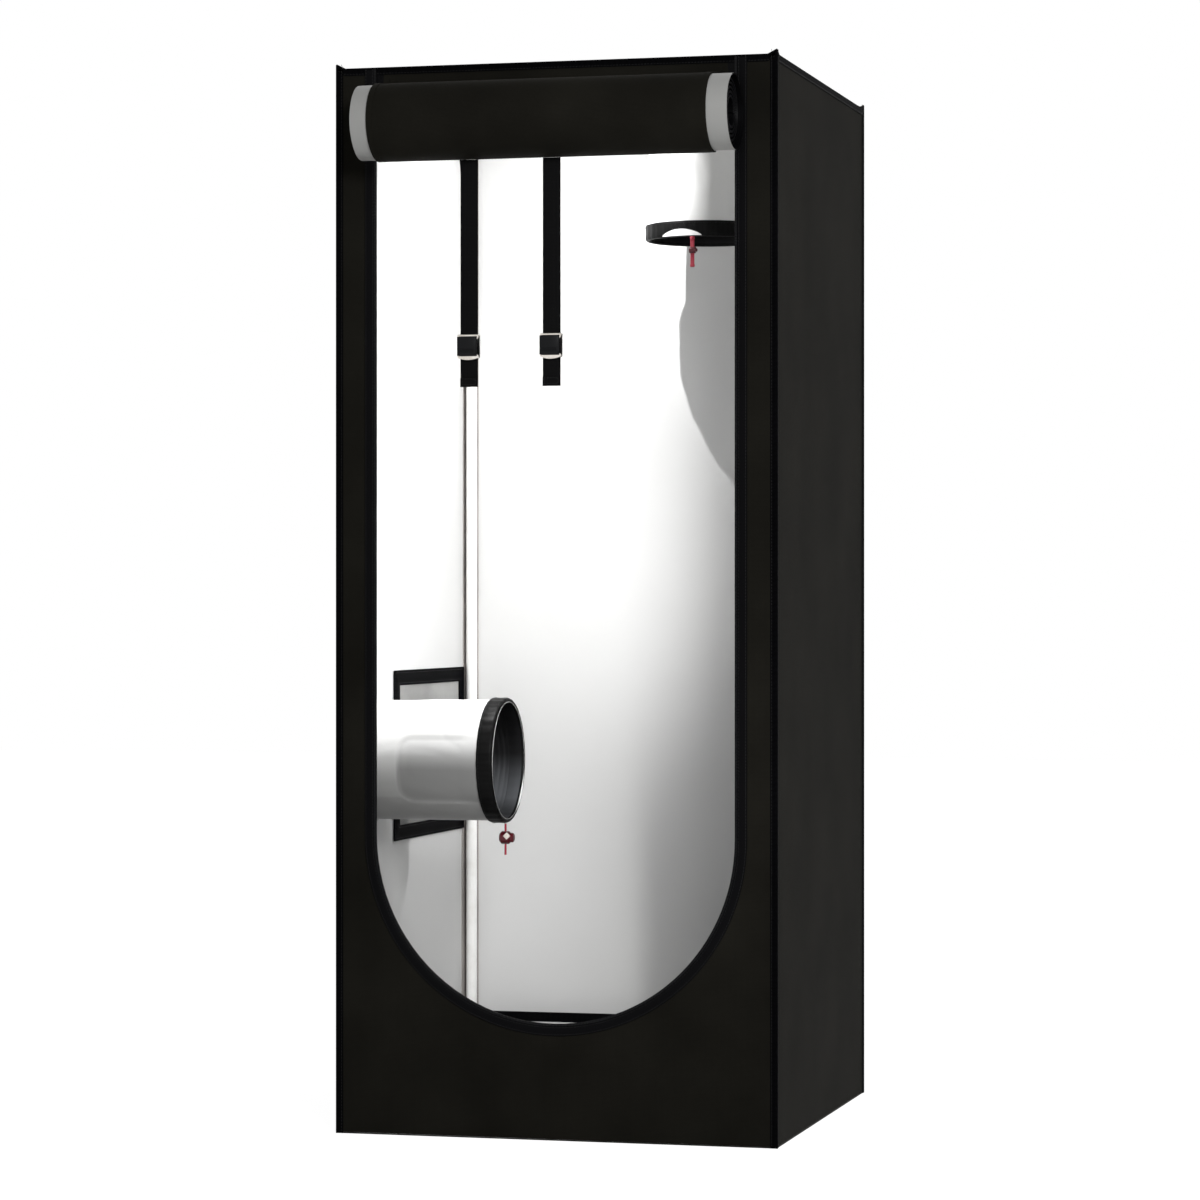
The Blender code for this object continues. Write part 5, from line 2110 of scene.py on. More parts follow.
@dataclass(frozen=True)
class DuctPort:
    """A duct sleeve of lined cloth, with its gathered hem.

    The angles of the places of painted shade are in degrees, measured up from the sleeve's near
    side. Going down, each place begins at its first angle and is full after its second.
    """

    where: str
    axis: Vector
    radius: float = 0.0820
    flange: float = 0.0100
    hem_width: float = 0.0220
    hem_outer: float = 0.0855
    hem_inner: float = 0.0787
    dent: float = 0.0030
    gathers: int = 34
    around: int = 144
    rib: float = 0.0025
    hollow_top: float = 26.0
    hollow_span: float = 1.20
    hollow_start: float = 0.0610
    hollow_corner: float = 0.0240
    hollow_soft: float = 0.0050
    moon_turn: float = 0.36
    moon_height: float = 0.0095
    shade_from: float = 22.0
    shade_fade: float = 34.0
    shade_least: float = 0.38
    shade_more: float = 0.34
    more_from: float = 6.0
    more_fade: float = 30.0
    dull_roof: float = 0.15
    under_from: float = -29.0
    under_fade: float = 8.0
    under_shade: float = 0.8
    pleat_pitch: float = 0.0075
    pleat_depth: float = 0.0005
    pleat_run: float = 0.1100
    crease_depth: float = 0.0003
    crease_width: float = 0.12
    held: float = 0.0300
    pucker: float = 0.00022
    backing_in: float = 0.0012
    backing_from: float = -0.0030
    stitch_in: float = 0.0030

    def dress(self) -> list[Object]:
        """Makes the sleeve, its hem, the stitch ring and a white piece that paints a highlight at
        its mouth.

        Returns:
            The pieces.
        """
        sleeve = self.sleeve()
        hem = piece(
            f"{self.where}_hem",
            self.hem(),
            [HEM_TAPE, SLEEVE_BACKING],
            "tent",
            [f"{self.where}_sleeve_hem"],
            sharp=60,
        )
        # Both are white pieces that paint highlights at the mouth.
        edge = self.moon_highlight() if self.axis.z else self.mouth_highlight()
        return [sleeve, hem, self.stitch_ring(), edge]

    def place(self, end: bool = False) -> Matrix:
        """Finds the sleeve's root or mouth.

        Args:
            end: Whether it is the mouth.

        Returns:
            The placing from the sleeve's own axes, with Z along it.
        """
        node = f"{self.where}_sleeve_hem" if end else f"{self.where}_sleeve"
        low, high = node_box(node)
        at = (low + high) / 2
        for i in range(3):
            if self.axis[i]:
                near, far = (low[i], high[i]) if self.axis[i] > 0 else (high[i], low[i])
                at[i] = far if end else near
        return aimed(self.axis, at)

    def length(self) -> float:
        """How far the sleeve reaches from the wall."""
        low, high = node_box(f"{self.where}_sleeve")
        return max(abs((high - low).dot(self.axis)), 0)

    def sleeve(self) -> Object:
        """Makes the sleeve and its flange, pressed in here and there as loose cloth is.

        Returns:
            The piece.
        """
        wide, length, place = self.radius + self.flange, self.length(), self.place()
        stations = [(wide, 0.0), (self.radius + CLOTH, 0.0), (self.radius, CLOTH)]
        stations += [(self.radius, h) for h in spread(2 * CLOTH, length - CLOTH, self.rib)]
        outer, inner = [], []
        for reach, high in stations:
            outer.append([])
            inner.append([])
            for j in range(self.around):
                turn = math.tau * j / self.around
                out = Vector((math.cos(turn), math.sin(turn), 0))
                held = reach - self.pressed(turn, high, length)
                lift = CLOTH if high == 0 else 0
                outer[-1].append(place @ (out * held + Vector((0, 0, high + CLOTH))))
                gap = 0 if reach == wide else CLOTH + self.pleat(turn, high, length)
                inner[-1].append(place @ (out * (held - gap) + Vector((0, 0, high + CLOTH - lift))))
        mesh = slab(outer, inner, [SLEEVE_CLOTH, SLEEVE_BACKING], ring=True)
        self.mark_handled(mesh)
        node = f"{self.where}_sleeve"
        made = piece(f"{self.where}_duct_sleeve", mesh, [], "tent", [node], sharp=60)
        return made

    def mark_handled(self, mesh: Mesh) -> None:
        """Writes the painted shade at each point, a share that mixes the film towards its darker
        colour.

        Inside, the wall sleeve's backing is painted lightest low down, darker towards its top and a
        little at its very bottom, and the roof's is dark all over. Outside, the roof's sleeve is
        evenly a little grey, and the wall's has painted shade from its near side down, most in its
        pressed hollow and on its underside.

        Args:
            mesh: The mesh to mark.
        """
        marks = mesh.attributes.new("handled", "FLOAT", "POINT")
        middle = self.place().translation
        backing = {v for face in mesh.polygons if face.material_index for v in face.vertices}
        for number, vertex in enumerate(mesh.vertices):
            off = vertex.co - middle
            if number in backing:
                # Painted shade inside the wall sleeve, lightest low down; the roof's backing is
                # dark all over.
                up = off.z / self.radius
                shade = max(smooth_step((up + 0.75) / 0.95), 0.6 * smooth_step((-0.6 - up) / 0.3))
                marks.data[number].value = 1.0 if self.axis.z else shade
                continue
            if self.axis.z:
                marks.data[number].value = self.dull_roof
                continue
            # Painted shade on the wall sleeve, from its near side down, most in the hollow and
            # underneath.
            above = math.degrees(math.atan2(off.z, -off.y))
            low_half = smooth_step((self.shade_from - above) / self.shade_fade)
            low_half = low_half if above > -90 else 1.0
            fold = self.hollow(math.radians(self.hollow_top - above), off.x)
            under = self.under_shade * smooth_step((self.under_from - above) / self.under_fade)
            more = self.shade_more * smooth_step((self.more_from - above) / self.more_fade)
            least = self.shade_least + more
            marks.data[number].value = low_half * max(least + (1 - least) * fold, under)

    def pleat(self, turn: float, high: float, length: float) -> float:
        """Folds the inside finely round the sleeve, near its mouth.

        Args:
            turn: The angle round the sleeve.
            high: The distance along it.
            length: Its length.

        Returns:
            How far a fold stands in.
        """
        near = smooth_step((high - length + self.pleat_run) / 0.05)
        sway = 0.8 * math.sin(turn * 3) + 0.4 * math.sin(turn * 7)
        wave = math.cos(high * math.tau / self.pleat_pitch + sway)
        return self.pleat_depth * near * (1 + wave)

    def pressed(self, turn: float, high: float, length: float) -> float:
        """Presses the sleeve in: broad dents, sharp creases and the folded hollow.

        Args:
            turn: The angle round the sleeve.
            high: The distance along it.
            length: Its length.

        Returns:
            How far it is pressed in.
        """
        free = smooth_step(high / self.held)
        free *= smooth_step((length - self.hem_width - high) / self.held)
        if free <= 0:
            return 0.0
        ring = Vector((math.cos(turn), math.sin(turn), 0))
        broad = noise.noise(ring * 1.3 + Vector((0, 0, high * 9 + 2)))
        crease = noise.noise(ring * 1.7 + Vector((0, 0, high * 14)))
        valley = smooth_step(1 - abs(crease) / self.crease_width)
        below = (math.radians(self.hollow_top) + turn + math.pi / 2) % math.tau
        hollow = 0.0 if self.axis.z else self.hollow(below, high)
        return free * (self.dent * (max(0.0, broad) + 0.5 * hollow) + self.crease_depth * valley)

    def hollow(self, below: float, high: float) -> float:
        """The share of a round-cornered hollow where the sleeve was folded in its bag.

        Args:
            below: The angle round the sleeve, down from the hollow's upper edge.
            high: The distance along the sleeve from the wall.

        Returns:
            One inside the hollow, nothing outside, and a soft edge between.
        """
        start, corner = self.hollow_start, self.hollow_corner
        across = below % math.tau * self.radius
        width = self.hollow_span * self.radius
        if across > width:
            return 0.0
        edge = min(across, width - across)
        along = high - start
        if along < corner and edge < corner:
            inside = corner - math.hypot(corner - along, corner - edge)
        else:
            inside = min(edge, along)
        return smooth_step(inside / self.hollow_soft)

    def hem(self) -> Mesh:
        """Makes the channel for the drawstring, puckered all round.

        Returns:
            Its mesh, with the dark backing inside.
        """
        place = self.place(end=True)
        section = self.hem_section()
        stations = []
        count = self.gathers * 8
        for j in range(count):
            turn = math.tau * j / count
            out = Vector((math.cos(turn), math.sin(turn), 0))
            uneven = 1 + 0.5 * noise.noise(out * 3)
            pucker = self.pucker * uneven * math.cos(turn * self.gathers + 2 * uneven)
            row = []
            for reach, high in section:
                share = 1 if reach > self.radius else 0.5
                row.append(place @ (out * (reach + pucker * share) + Vector((0, 0, high))))
            stations.append(row)
        mesh = as_mesh(lofted(stations, ring_rows=True, ring_points=True), "hem", outwards=True)
        back = place.inverted()
        for face in mesh.polygons:
            spot = back @ face.center
            inside = math.hypot(spot.x, spot.y) < self.hem_inner + self.backing_in
            if inside and spot.z < self.backing_from:
                face.material_index = 1
        self.mark_handled(mesh)
        return mesh

    def hem_section(self) -> list[Flat]:
        """Draws the hem's section.

        Returns:
            Its corners as (radius, height), with the mouth at height zero.
        """
        out, inn, wide = self.hem_outer - 0.0005, self.hem_inner + 0.0003, self.hem_width
        sleeve_out, sleeve_in = self.radius + 0.0003, self.radius - CLOTH - 0.0003
        return [
            (sleeve_out, -wide),
            (out - 0.0009, -wide),
            (out, -wide + 0.0025),
            (out - 0.0004, -wide * 0.55),
            (out, -0.0042),
            (out - 0.0008, -0.0014),
            (out - 0.0026, 0),
            (inn + 0.0018, 0),
            (inn + 0.0004, -0.0012),
            (inn, -0.0042),
            (inn, -wide + 0.0015),
            (inn + 0.0007, -wide),
            (sleeve_in, -wide),
            (sleeve_in, -0.0012),
            (sleeve_out, -0.0012),
        ]

    def stitch_ring(self) -> Object:
        """Sews the hem's channel shut.

        Returns:
            The stitches.
        """
        place = self.place(end=True)
        high = -self.hem_width + self.stitch_in
        ring = arc((0, 0), self.hem_outer - 0.0002, 0, math.tau, 120)[:-1]
        line = [place @ Vector((a, b, high)) for a, b in ring]
        middle = place @ Vector((0, 0, high))
        name = f"{self.where}_hem_stitches"
        return STITCHES.laid(name, [line], Vector(), centre=middle, closed=True)

    def mouth_highlight(self) -> Object:
        """Makes a white lining edge that paints the mouth's highlights, thick near by and low at
        the far side.

        Returns:
            The piece.
        """
        place = self.place(end=True)
        back = place.to_3x3().inverted()
        # Each place's direction, the angle within which it thins out, and its thickness.
        spots = [(Vector((0, -1, 0.35)), 0.85, 0.0016), (Vector((0, 0.8, -0.65)), 0.5, 0.0024)]
        rows = []
        for j in range(self.around):
            turn = math.tau * j / self.around
            out = Vector((math.cos(turn), math.sin(turn), 0))
            thick = 0.0002
            for way, span, most in spots:
                off = (back @ way).normalized().angle(out)
                thick = max(thick, most * smooth_step(1 - off / span))
            ring = arc((self.hem_inner + 0.0006, -0.0009), thick, 0, math.tau, 8)[:-1]
            rows.append([place @ (out * a + Vector((0, 0, b * 0.5))) for a, b in ring])
        mesh = as_mesh(lofted(rows, ring_rows=True, ring_points=True), "edge", outwards=True)
        return piece(f"{self.where}_mouth_edge", mesh, [PAINTED_HIGHLIGHT], "tent")

    def moon_highlight(self) -> Object:
        """Makes a white half-moon over the hem where its cord comes out, a painted highlight shaped
        as turned-out lining.

        Returns:
            The piece.
        """
        place = self.place(end=True)
        back = place.to_3x3().inverted()
        way = (back @ Vector((-0.20, -0.98, 0))).normalized()
        middle = math.atan2(way.y, way.x)
        outer, inner = [], []
        for rise in spread(0, 1, 0.125):
            outer.append([])
            inner.append([])
            for share in spread(-1, 1, 0.05):
                turn = middle + share * self.moon_turn
                out = Vector((math.cos(turn), math.sin(turn), 0))
                high = -0.0012 - rise * self.moon_height * math.cos(share * math.pi / 2) ** 0.7
                spot = place @ (out * (self.hem_outer + 0.0004) + Vector((0, 0, high)))
                outer[-1].append(spot)
                inner[-1].append(spot - place.to_3x3() @ out * 0.0012)
        mesh = slab(outer, inner, [PAINTED_HIGHLIGHT])
        return piece(f"{self.where}_turned_lining", mesh, [], "tent")


@dataclass(frozen=True)
class Vent:
    """The vent: its net, the frame that holds it and the flap outside."""

    side_strip: float = 0.0260
    flat_strip: float = 0.0212
    pitch: float = 0.0015
    strand: float = 0.00038
    corner: float = 0.0020
    soft: float = 0.0008
    stitch_insets: tuple[float, float] = (0.0035, 0.0180)
    flap_cell: float = 0.0120
    flap_wave: float = 0.0012
    flap_inset: float = 0.0060

    def window(self) -> tuple[Flat, Flat]:
        """Finds the clear window.

        Returns:
            Its low and high corners, across and up.
        """
        low, high = node_box("vent_frame")
        return (
            (low.y + self.side_strip, low.z + self.flat_strip),
            (high.y - self.side_strip, high.z - self.flat_strip),
        )

    def dress(self) -> list[Object]:
        """Makes the net, the frame with its stitches and the flap."""
        return [self.net(), *self.frame(), *self.flap()]

    def net(self) -> Object:
        """Makes the fine net, woven by a node tree from two sets of strands.

        Returns:
            The piece.
        """
        low, high = node_box("vent_mesh")
        mesh = NetWeave(high.y - low.y, high.z - low.z, self.pitch, self.strand).mesh(NET)
        mesh.transform(Matrix.Translation((low + high) / 2) @ facing(0))
        box_uv(mesh)
        return piece("vent_net", mesh, [NET], "tent", ["vent_mesh"])

    def frame(self) -> list[Object]:
        """Makes the black tape frame round the net.

        Returns:
            The frame and its stitches.
        """
        low, high = node_box("vent_frame")
        half_w, half_h = (high.y - low.y) / 2, (high.z - low.z) / 2
        strip_w, strip_h = self.side_strip, self.flat_strip
        middle = (low + high) / 2
        base, face = low.x, high.x
        rows = []
        for place, _ in rounded_ring(half_w, half_h, self.corner, 24):
            inner = Vector((
                math.copysign(min(abs(place.x), half_w - strip_w), place.x),
                math.copysign(min(abs(place.y), half_h - strip_h), place.y),
                0,
            ))
            soft = (place - inner).normalized() * self.soft
            spots = [
                (place, base),
                (place, face - self.soft / 2),
                (place - soft, face),
                (inner + soft, face),
                (inner, face - self.soft / 2),
                (inner, base),
            ]
            rows.append([Vector((deep, middle.y + p.x, middle.z + p.y)) for p, deep in spots])
        mesh = as_mesh(lofted(rows, ring_rows=True, ring_points=True), "frame", outwards=True)
        box_uv(mesh)
        made = [piece("vent_tape", mesh, [EDGE_TAPE], "tent", ["vent_frame"])]
        lines = []
        for inset in self.stitch_insets:
            ring = rounded_ring(half_w - inset, half_h - inset, 0.004, 8)
            lines.append([Vector((face, middle.y + p.x, middle.z + p.y)) for p, _ in ring])
        stitches = STITCHES.laid("vent_stitches", lines, Vector((1, 0, 0)), closed=True)
        return [*made, stitches]

    def flap(self) -> list[Object]:
        """Makes the flap outside, a slack sheet sewn on along its top.

        Returns:
            The flap and its stitches.
        """
        low, high = node_box("vent_flap")
        outer, inner = [], []
        for z in spread(high.z, low.z, -self.flap_cell):
            outer.append([])
            inner.append([])
            for y in spread(low.y, high.y, self.flap_cell):
                free = smooth_step((high.z - z) / 0.06)
                slack = max(0.0, noise.noise(Vector((y * 12, z * 7, 4))))
                wave = self.flap_wave * free * slack
                outer[-1].append(Vector((low.x - wave, y, z)))
                inner[-1].append(Vector((high.x - wave, y, z)))
        mesh = slab(outer, inner, [CANVAS, LINING])
        made = piece("vent_cover", mesh, [], "flap", ["vent_flap"], sharp=50)
        inset = self.flap_inset
        ring = rectangle((low.y + inset, low.z + inset), (high.y - inset, high.z - inset))
        corners = [Vector((low.x, a, b)) for a, b in ring]
        side = Vector((-1, 0, 0))
        row = STITCHES.laid("vent_cover_stitches", [corners], side, closed=True, body="flap")
        return [made, row]


@dataclass(frozen=True)
class NetWeave:
    """A Geometry Nodes tree that weaves a flat net about the origin, in the XY plane."""

    width: float
    height: float
    pitch: float
    strand: float

    def mesh(self, finish: Finish) -> Mesh:
        """Runs the tree.

        Args:
            finish: The strands' finish.

        Returns:
            The net's mesh.
        """
        values = {
            "Width": self.width,
            "Height": self.height,
            "Pitch": self.pitch,
            "Strand": self.strand,
            "Finish": finish.material(),
        }
        return grown(bpy.data.meshes.new("net"), self.tree(), values)

    def tree(self) -> NodeTree:
        """Builds the tree: one set of strands up, one across, joined and made real.

        Returns:
            The tree.
        """
        tree = bpy.data.node_groups.new("net_weave", "GeometryNodeTree")
        for name in ("Width", "Height", "Pitch", "Strand"):
            tree.interface.new_socket(name, in_out="INPUT", socket_type="NodeSocketFloat")
        tree.interface.new_socket("Finish", in_out="INPUT", socket_type="NodeSocketMaterial")
        tree.interface.new_socket("Net", in_out="OUTPUT", socket_type="NodeSocketGeometry")
        given = add_node(tree, "NodeGroupInput").outputs
        joined = add_node(tree, "GeometryNodeJoinGeometry")
        for wide, tall, upright in (("Width", "Height", True), ("Height", "Width", False)):
            half = add_node(
                tree, "ShaderNodeMath", {0: given[wide]}, {1: -0.5}, operation="MULTIPLY"
            )
            gaps = add_node(
                tree, "ShaderNodeMath", {0: given[wide], 1: given["Pitch"]}, operation="DIVIDE"
            )
            count = add_node(tree, "FunctionNodeFloatToInt", {0: gaps.outputs[0]})
            spots = {"X": half.outputs[0]} if upright else {"Y": half.outputs[0]}
            start = add_node(tree, "ShaderNodeCombineXYZ", spots)
            step_by = {"X": given["Pitch"]} if upright else {"Y": given["Pitch"]}
            step = add_node(tree, "ShaderNodeCombineXYZ", step_by)
            line = add_node(
                tree,
                "GeometryNodeMeshLine",
                {
                    "Count": count.outputs[0],
                    "Start Location": start.outputs[0],
                    "Offset": step.outputs[0],
                },
            )
            thin, long = given["Strand"], given[tall]
            size = add_node(
                tree,
                "ShaderNodeCombineXYZ",
                {"X": thin if upright else long, "Y": long if upright else thin, "Z": thin},
            )
            strand = add_node(tree, "GeometryNodeMeshCube", {"Size": size.outputs[0]})
            laid = add_node(
                tree,
                "GeometryNodeInstanceOnPoints",
                {"Points": line.outputs["Mesh"], "Instance": strand.outputs["Mesh"]},
            )
            tree.links.new(laid.outputs[0], joined.inputs[0])
        real = add_node(tree, "GeometryNodeRealizeInstances", {0: joined.outputs[0]})
        dressed = add_node(
            tree, "GeometryNodeSetMaterial", {0: real.outputs[0], "Material": given["Finish"]}
        )
        add_node(tree, "NodeGroupOutput", {0: dressed.outputs[0]})
        return tree


@dataclass(frozen=True)
class Tray:
    """The lift-out floor tray and the hem over its rim."""

    sheet: float = 0.0012
    corner: float = 0.0080
    hem_height: float = 0.0140
    hem: float = 0.0008
    hem_stitch: float = 0.0110
    bow: float = 0.0016
    per_side: int = 30

    def dress(self) -> list[Object]:
        """Makes the tray, its hem and the hem's stitches."""
        return [self.tray(), *self.rim()]

    def tray(self) -> Object:
        """Makes the tray: one sheet from its rim down and across its floor.

        Returns:
            The piece.
        """
        low, high = node_box("floor_tray")
        half = high.x
        levels = [(0.0, z) for z in spread(high.z, low.z + self.corner, -0.01)]
        soft = arc((-self.corner, low.z + self.corner), self.corner, 0, -math.pi / 2, 4)[1:]
        floor = [(-inset, low.z) for inset in spread(self.corner, half - 0.004, 0.03)[1:]]
        outer, inner = [], []
        for number, (out, z) in enumerate([*levels, *soft, *floor]):
            onward = max(self.corner + out, 0.002)
            ring = rounded_ring(half + out, half + out, onward, self.per_side)
            wall = smooth_step((high.z - z) / 0.03) * smooth_step((z - low.z) / 0.03)
            outer.append([])
            inner.append([])
            upright = number < len(levels)
            for place, side in ring:
                along = abs(place.x) if abs(side.y) > 0.5 else abs(place.y)
                push = self.bow * wall * (1 - (along / half) ** 2) if upright else 0
                push *= 0.6 + 0.8 * noise.noise(place * 9)
                flat = Vector((place.x, place.y, z)) - side * push
                thin = side * self.sheet if upright else Vector()
                rise = Vector((0, 0, 0 if upright else self.sheet))
                outer[-1].append(flat)
                inner[-1].append(flat - thin + rise)
        mesh = slab(outer, inner, [CANVAS, LINING], ring=True, capped=True)
        made = piece("tray_sheet", mesh, [], "tent", ["floor_tray"], sharp=50)
        tall = high.z - low.z
        side = 2 * (half + tall)
        return made

    def rim(self) -> list[Object]:
        """Folds the tape over the tray's rim.

        Returns:
            The tape and its stitches.
        """
        high = node_box("tray_hem")[1]
        half = high.x - self.hem
        stations = rounded_ring(half, half, self.corner, self.per_side)
        drop = -self.hem_height
        back = -self.sheet - 0.0003
        shape = [
            (0.0, drop),
            (self.hem, drop),
            (self.hem, -0.0008),
            (self.hem / 2, 0.0),
            (back - self.hem / 2, 0.0),
            (back - self.hem, -0.0008),
            (back - self.hem, drop),
            (back, drop),
            (back, -self.hem),
            (0.0, -self.hem),
        ]
        path = [Vector((p.x, p.y, high.z)) for p, _ in stations]
        mesh = swept(
            path, lambda i: [stations[i][1] * a + Vector((0, 0, b)) for a, b in shape], ring=True
        )
        made = piece("tray_tape", mesh, [EDGE_TAPE], "tent", ["tray_hem"])
        level = high.z - self.hem_stitch
        row = [Vector((p.x, p.y, level)) + out * self.hem for p, out in stations]
        centre = Vector((0, 0, level))
        return [made, STITCHES.laid("tray_stitches", [row], Vector(), centre, closed=True)]


@dataclass(frozen=True)
class Drawstring:
    """The cord end that hangs out of a sleeve's hem, with its lock."""

    where: str
    diameter: float = 0.003
    length: float = 0.0425
    points: int = 16
    sides: int = 14
    plate: float = 0.0050
    plate_rise: float = 0.0006
    plate_sunk: float = 0.0022
    plate_shift: Triple = (0.0042, 0, 0.0026)
    strands: tuple[float, ...] = (0.0,)
    knots: tuple[Flat, ...] = ((0.0021, 0.0021), (0.0402, 0.0022))

    # The slim lock and its button, as (place along X, radius), and a knot's radii, all in mm.
    SLIM_MM: ClassVar[dict[str, list[Flat]]] = {
        "lock": [(-4.4, 2.8), (-4.1, 4.2), (-3.0, 4.7), (3.9, 4.7), (4.8, 4.2), (5.2, 3.0)],
        "button": [(5.0, 2.4), (6.4, 2.4), (7.0, 1.9), (7.2, 0.9)],
    }
    KNOT_MM: ClassVar[tuple[float, ...]] = (2.4, 3.2, 3.4, 3.1, 2.0)

    def dress(self) -> list[Object]:
        """Makes the cord on the same line as its solid, with its lock on it.

        Returns:
            The cord and the pieces of its lock.
        """
        low, high = node_box(f"{self.where}_drawstring")
        top = Vector(((low.x + high.x) / 2, (low.y + high.y) / 2, high.z))
        drops = [self.length * i / (self.points - 1) for i in range(self.points)]
        path = [top - Vector((0, 0, drop)) for drop in drops]
        radii = [self.diameter / 2] * self.points
        strands = []
        for aside in self.strands:
            strand = [spot + Vector((aside, 0, 0)) for spot in path]
            strands.append(as_mesh(tube(strand, radii, self.sides), "cord", outwards=True))
        mesh = merged(strands)
        name = f"{self.where}_cord"
        made = piece(name, mesh, [CORD], "tent", [f"{self.where}_drawstring"])
        pieces = self.small_lock(top) if self.where == "roof" else self.barrel_lock()
        return [made, *pieces]

    def barrel_lock(self) -> list[Object]:
        """Keeps the frame's barrel lock, with a bright plate on its front.

        Returns:
            The lock, its button and the plate.
        """
        low, high = node_box(f"{self.where}_cord_lock")
        middle = (low + high) / 2 + Vector(self.plate_shift)
        half = self.plate
        corners = [
            (middle.x, middle.z + half),
            (middle.x + half, middle.z),
            (middle.x, middle.z - half),
            (middle.x - half, middle.z),
        ]
        rim, deep = low.y - self.plate_rise, low.y + self.plate_sunk
        block = bevelled(prism(corners, rim, deep, facing(1)), 0.0004)
        plate = piece(f"{self.where}_lock_plate", block, [PLATED], f"{self.where}_lock")
        kept = [bpy.data.objects[f"{self.where}_cord_lock{end}"] for end in ("", "_button")]
        return [*kept, plate]

    def small_lock(self, top: Vector) -> list[Object]:
        """Makes a slim lock and its button, and the knots above and below its travel.

        Args:
            top: Where the cord leaves the hem.

        Returns:
            The lock, the button and both knots as one piece.
        """
        low, high = node_box(f"{self.where}_cord_lock")
        middle = Vector((top.x, top.y, (low.z + high.z) / 2))
        made = []
        for part, profile in self.SLIM_MM.items():
            path = [middle + Vector((x * MM, 0, 0)) for x, _ in profile]
            bar = as_mesh(tube(path, [r * MM for _, r in profile], 20), part, outwards=True)
            node = f"{self.where}_cord_lock" + ("_button" if part == "button" else "")
            body = f"{self.where}_{part}"
            made.append(piece(f"{self.where}_slim_{part}", bar, [LOCK_PLASTIC], body, [node]))
        knots = []
        for drop, tall in self.knots:
            spots = [top - Vector((0, 0, drop + lift * tall)) for lift in (-1, -0.7, 0, 0.7, 1)]
            radii = [r * MM for r in self.KNOT_MM]
            knots.append(as_mesh(tube(spots, radii, 16), "knot", outwards=True))
        made.append(piece(f"{self.where}_cord_knots", merged(knots), [CORD]))
        return made


class LampKind(Enum):
    """The kinds of lamp in the studio, by Blender's names."""

    BULB = "POINT"
    SPOT = "SPOT"
    PANEL = "AREA"


@dataclass(frozen=True)
class Lamp:
    """A lamp that the camera doesn't see. Its size is its width, or a bulb's or spot's radius."""

    name: str
    kind: LampKind
    at: Triple
    aim: Triple
    watts: float
    size: float
    cone_deg: float = 45.0
    blend: float = 1.0

    def hang(self) -> None:
        """Puts the lamp in the scene."""
        data = bpy.data.lights.new(self.name, self.kind.value)
        data.energy = self.watts
        if self.kind is LampKind.PANEL:
            data.size = self.size
        else:
            data.shadow_soft_size = self.size
        if self.kind is LampKind.SPOT:
            data.spot_size = math.radians(self.cone_deg)
            data.spot_blend = self.blend
        lamp = bpy.data.objects.new(self.name, data)
        lamp.location = self.at
        way = Vector(self.aim) - Vector(self.at)
        lamp.rotation_euler = way.to_track_quat("-Z", "Y").to_euler()
        lamp.visible_camera = False
        bpy.context.scene.collection.objects.link(lamp)


UNDER_ROOF = (0.0358, -0.033, 1.297)
ABOVE_SLEEVE = (-0.185, -0.19, 1.36)


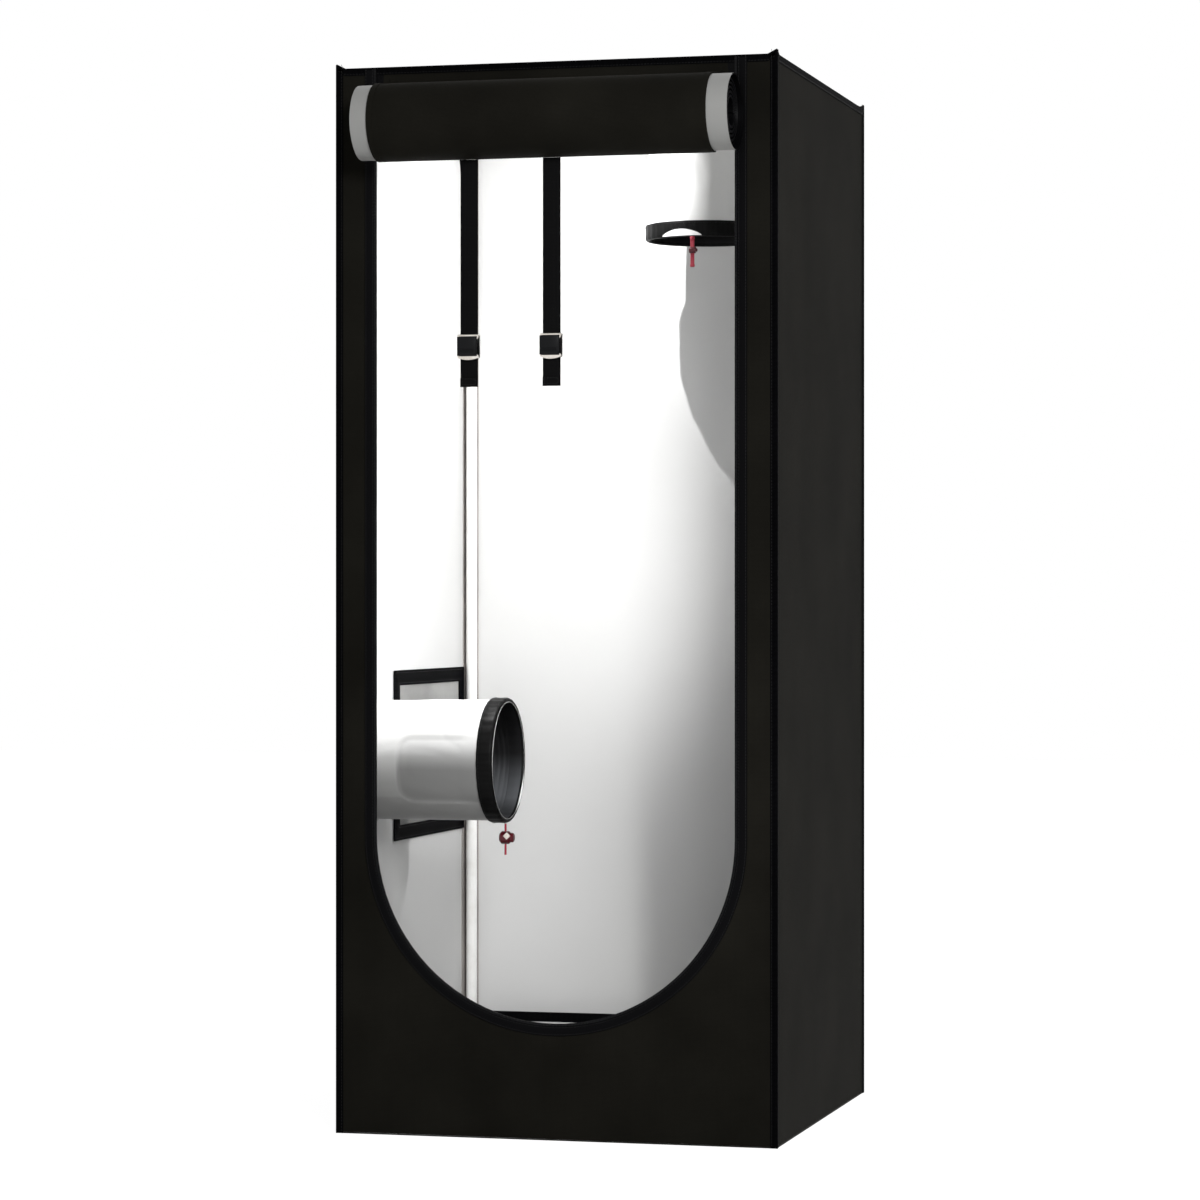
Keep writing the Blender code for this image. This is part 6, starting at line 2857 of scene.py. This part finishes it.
@dataclass(frozen=True)
class Studio:
    """The camera, the lamps and the pale ground, as the photograph has them."""

    camera_at: Triple = (1.3607, -5.2853, 0.712)
    camera_turn_deg: float = 14.59
    focal_mm: float = 117.71
    film_mm: float = 36.0
    sky: float = 0.2
    floor_half: float = 12.0
    floor_level: float = -0.0005
    floor_glow: float = 1.36
    floor_glow_share: float = 0.7
    hung: tuple[Lamp, ...] = (
        # Under the roof inside, so that the roof sleeve's shadow falls on the back wall.
        Lamp("inside", LampKind.SPOT, UNDER_ROOF, (-0.314, 0.217, 1.097), 8.8, 0.0007, 130, 0.5),
        Lamp("inside_bulb", LampKind.BULB, UNDER_ROOF, (0.0358, 0, 0), 1.2, 0.0007),
        # Onto the wall sleeve's top.
        Lamp("over_sleeve", LampKind.SPOT, ABOVE_SLEEVE, (-0.185, -0.185, 0), 50.0, 0.02, 25),
        # Onto the front, and glints along the buckles and hems.
        Lamp("key", LampKind.PANEL, (1.2, -2.75, 1.9), (0.0, 0.0, 0.6), 42.0, 0.6),
        # Behind the front's right strip, onto the left wall and the middle of the back wall.
        Lamp("back_pool", LampKind.SPOT, (0.262, -0.262, 0.74), (-0.3, 0.12, 0.72), 19.5, 0.01, 86),
        # Through the door, onto the lower back wall and the tray's rim.
        Lamp("low_pool", LampKind.SPOT, (1.5, -3.2, 1.6), (-0.18, 0.3, 0.2), 320.0, 0.15, 7.5),
        # Onto the right wall.
        Lamp("side", LampKind.PANEL, (3.4, 0.5, 1.6), (0.3, 0.0, 0.7), 9.5, 0.9),
    )

    def set_up(self) -> None:
        """Builds everything that isn't part of the tent."""
        self.camera()
        self.backdrop()
        self.lamps()
        bpy.context.scene.view_settings.view_transform = "Standard"

    def camera(self) -> None:
        """Sets the level camera at the photograph's viewing angle."""
        data = bpy.data.cameras.new("camera")
        data.lens = self.focal_mm
        data.sensor_width = self.film_mm
        camera = bpy.data.objects.new("camera", data)
        camera.location = self.camera_at
        camera.rotation_euler = (math.pi / 2, 0, math.radians(self.camera_turn_deg))
        bpy.context.scene.collection.objects.link(camera)
        bpy.context.scene.camera = camera

    def backdrop(self) -> None:
        """Makes the white world and the pale floor that keeps a faint shadow."""
        world = bpy.data.worlds.new("world")
        world.use_nodes = True
        bpy.context.scene.world = world
        tree = world.node_tree
        tree.nodes.clear()
        seen = self.seen_directly(tree)
        light = add_node(tree, "ShaderNodeBackground", values={"Strength": self.sky})
        white = add_node(tree, "ShaderNodeBackground", values={"Strength": 1.0})
        for node in (light, white):
            node.inputs["Color"].default_value = (1, 1, 1, 1)
        both = add_node(
            tree, "ShaderNodeMixShader", {0: seen, 1: light.outputs[0], 2: white.outputs[0]}
        )
        add_node(tree, "ShaderNodeOutputWorld", {"Surface": both.outputs[0]})
        self.floor()

    def floor(self) -> None:
        """Lays a wide pale floor under the tent."""
        wide = self.floor_half
        bm = bmesh.new()
        corners = rectangle((-wide, -wide), (wide, wide))
        bm.faces.new([bm.verts.new((x, y, self.floor_level)) for x, y in corners])
        floor = bpy.data.objects.new("floor", as_mesh(bm, "floor"))
        bpy.context.scene.collection.objects.link(floor)
        material = bpy.data.materials.new("pale_floor")
        material.use_nodes = True
        tree = material.node_tree
        matt = tree.nodes["Principled BSDF"]
        matt.inputs["Base Color"].default_value = linear("#f4f4f4")
        matt.inputs["Roughness"].default_value = 0.9
        seen = self.seen_directly(tree)
        share = add_node(
            tree, "ShaderNodeMath", {0: seen}, {1: self.floor_glow_share}, operation="MULTIPLY"
        )
        glow = add_node(tree, "ShaderNodeEmission", values={"Strength": self.floor_glow})
        mixed = {0: share.outputs[0], 1: matt.outputs[0], 2: glow.outputs[0]}
        both = add_node(tree, "ShaderNodeMixShader", mixed)
        tree.links.new(both.outputs[0], tree.nodes["Material Output"].inputs["Surface"])
        floor.data.materials.append(material)

    def seen_directly(self, tree: NodeTree) -> NodeSocket:
        """Adds nodes that tell a ray from the camera, a mirror or glass from a lighting ray.

        Args:
            tree: The world's or a material's tree.

        Returns:
            A socket that is one for such a ray and zero for a lighting ray.
        """
        path = add_node(tree, "ShaderNodeLightPath").outputs
        seen = path["Is Camera Ray"]
        for kind in ("Is Glossy Ray", "Is Transmission Ray"):
            both = {0: seen, 1: path[kind]}
            seen = add_node(tree, "ShaderNodeMath", both, operation="MAXIMUM").outputs[0]
        return seen

    def lamps(self) -> None:
        """Hangs the small lamps inside and the soft boxes outside."""
        for lamp in self.hung:
            lamp.hang()


def report(part: str, made: Sequence[Object]) -> None:
    """Logs each piece of a sub-assembly.

    Args:
        part: The sub-assembly.
        made: Its pieces.
    """
    for item in made:
        LOG.info("%s: %s, %d faces", part, item.name, len(item.data.polygons))


def main() -> None:
    """Builds the sub-assemblies in order."""
    logging.basicConfig(level=logging.INFO, format="%(name)s: %(message)s")
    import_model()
    Studio().set_up()
    report("wall drawstring", Drawstring("wall").dress())
    report("roof drawstring", Drawstring("roof", strands=(-0.00135, 0.00135)).dress())
    report("frame", Skeleton().dress())
    report("canvas", CanvasShell().dress())
    report("zip", DoorZip().dress())
    report("rolled door", RolledDoor().dress())
    report("straps", HoldDowns().dress())
    report("levers", [CamLever("left").dress(), CamLever("right").dress()])
    report("wall duct", DuctPort("wall", Vector((1, 0, 0))).dress())
    report("roof duct", DuctPort("roof", Vector((0, 0, -1))).dress())
    report("vent", Vent().dress())
    report("tray", Tray().dress())


if __name__ == "__main__":
    main()
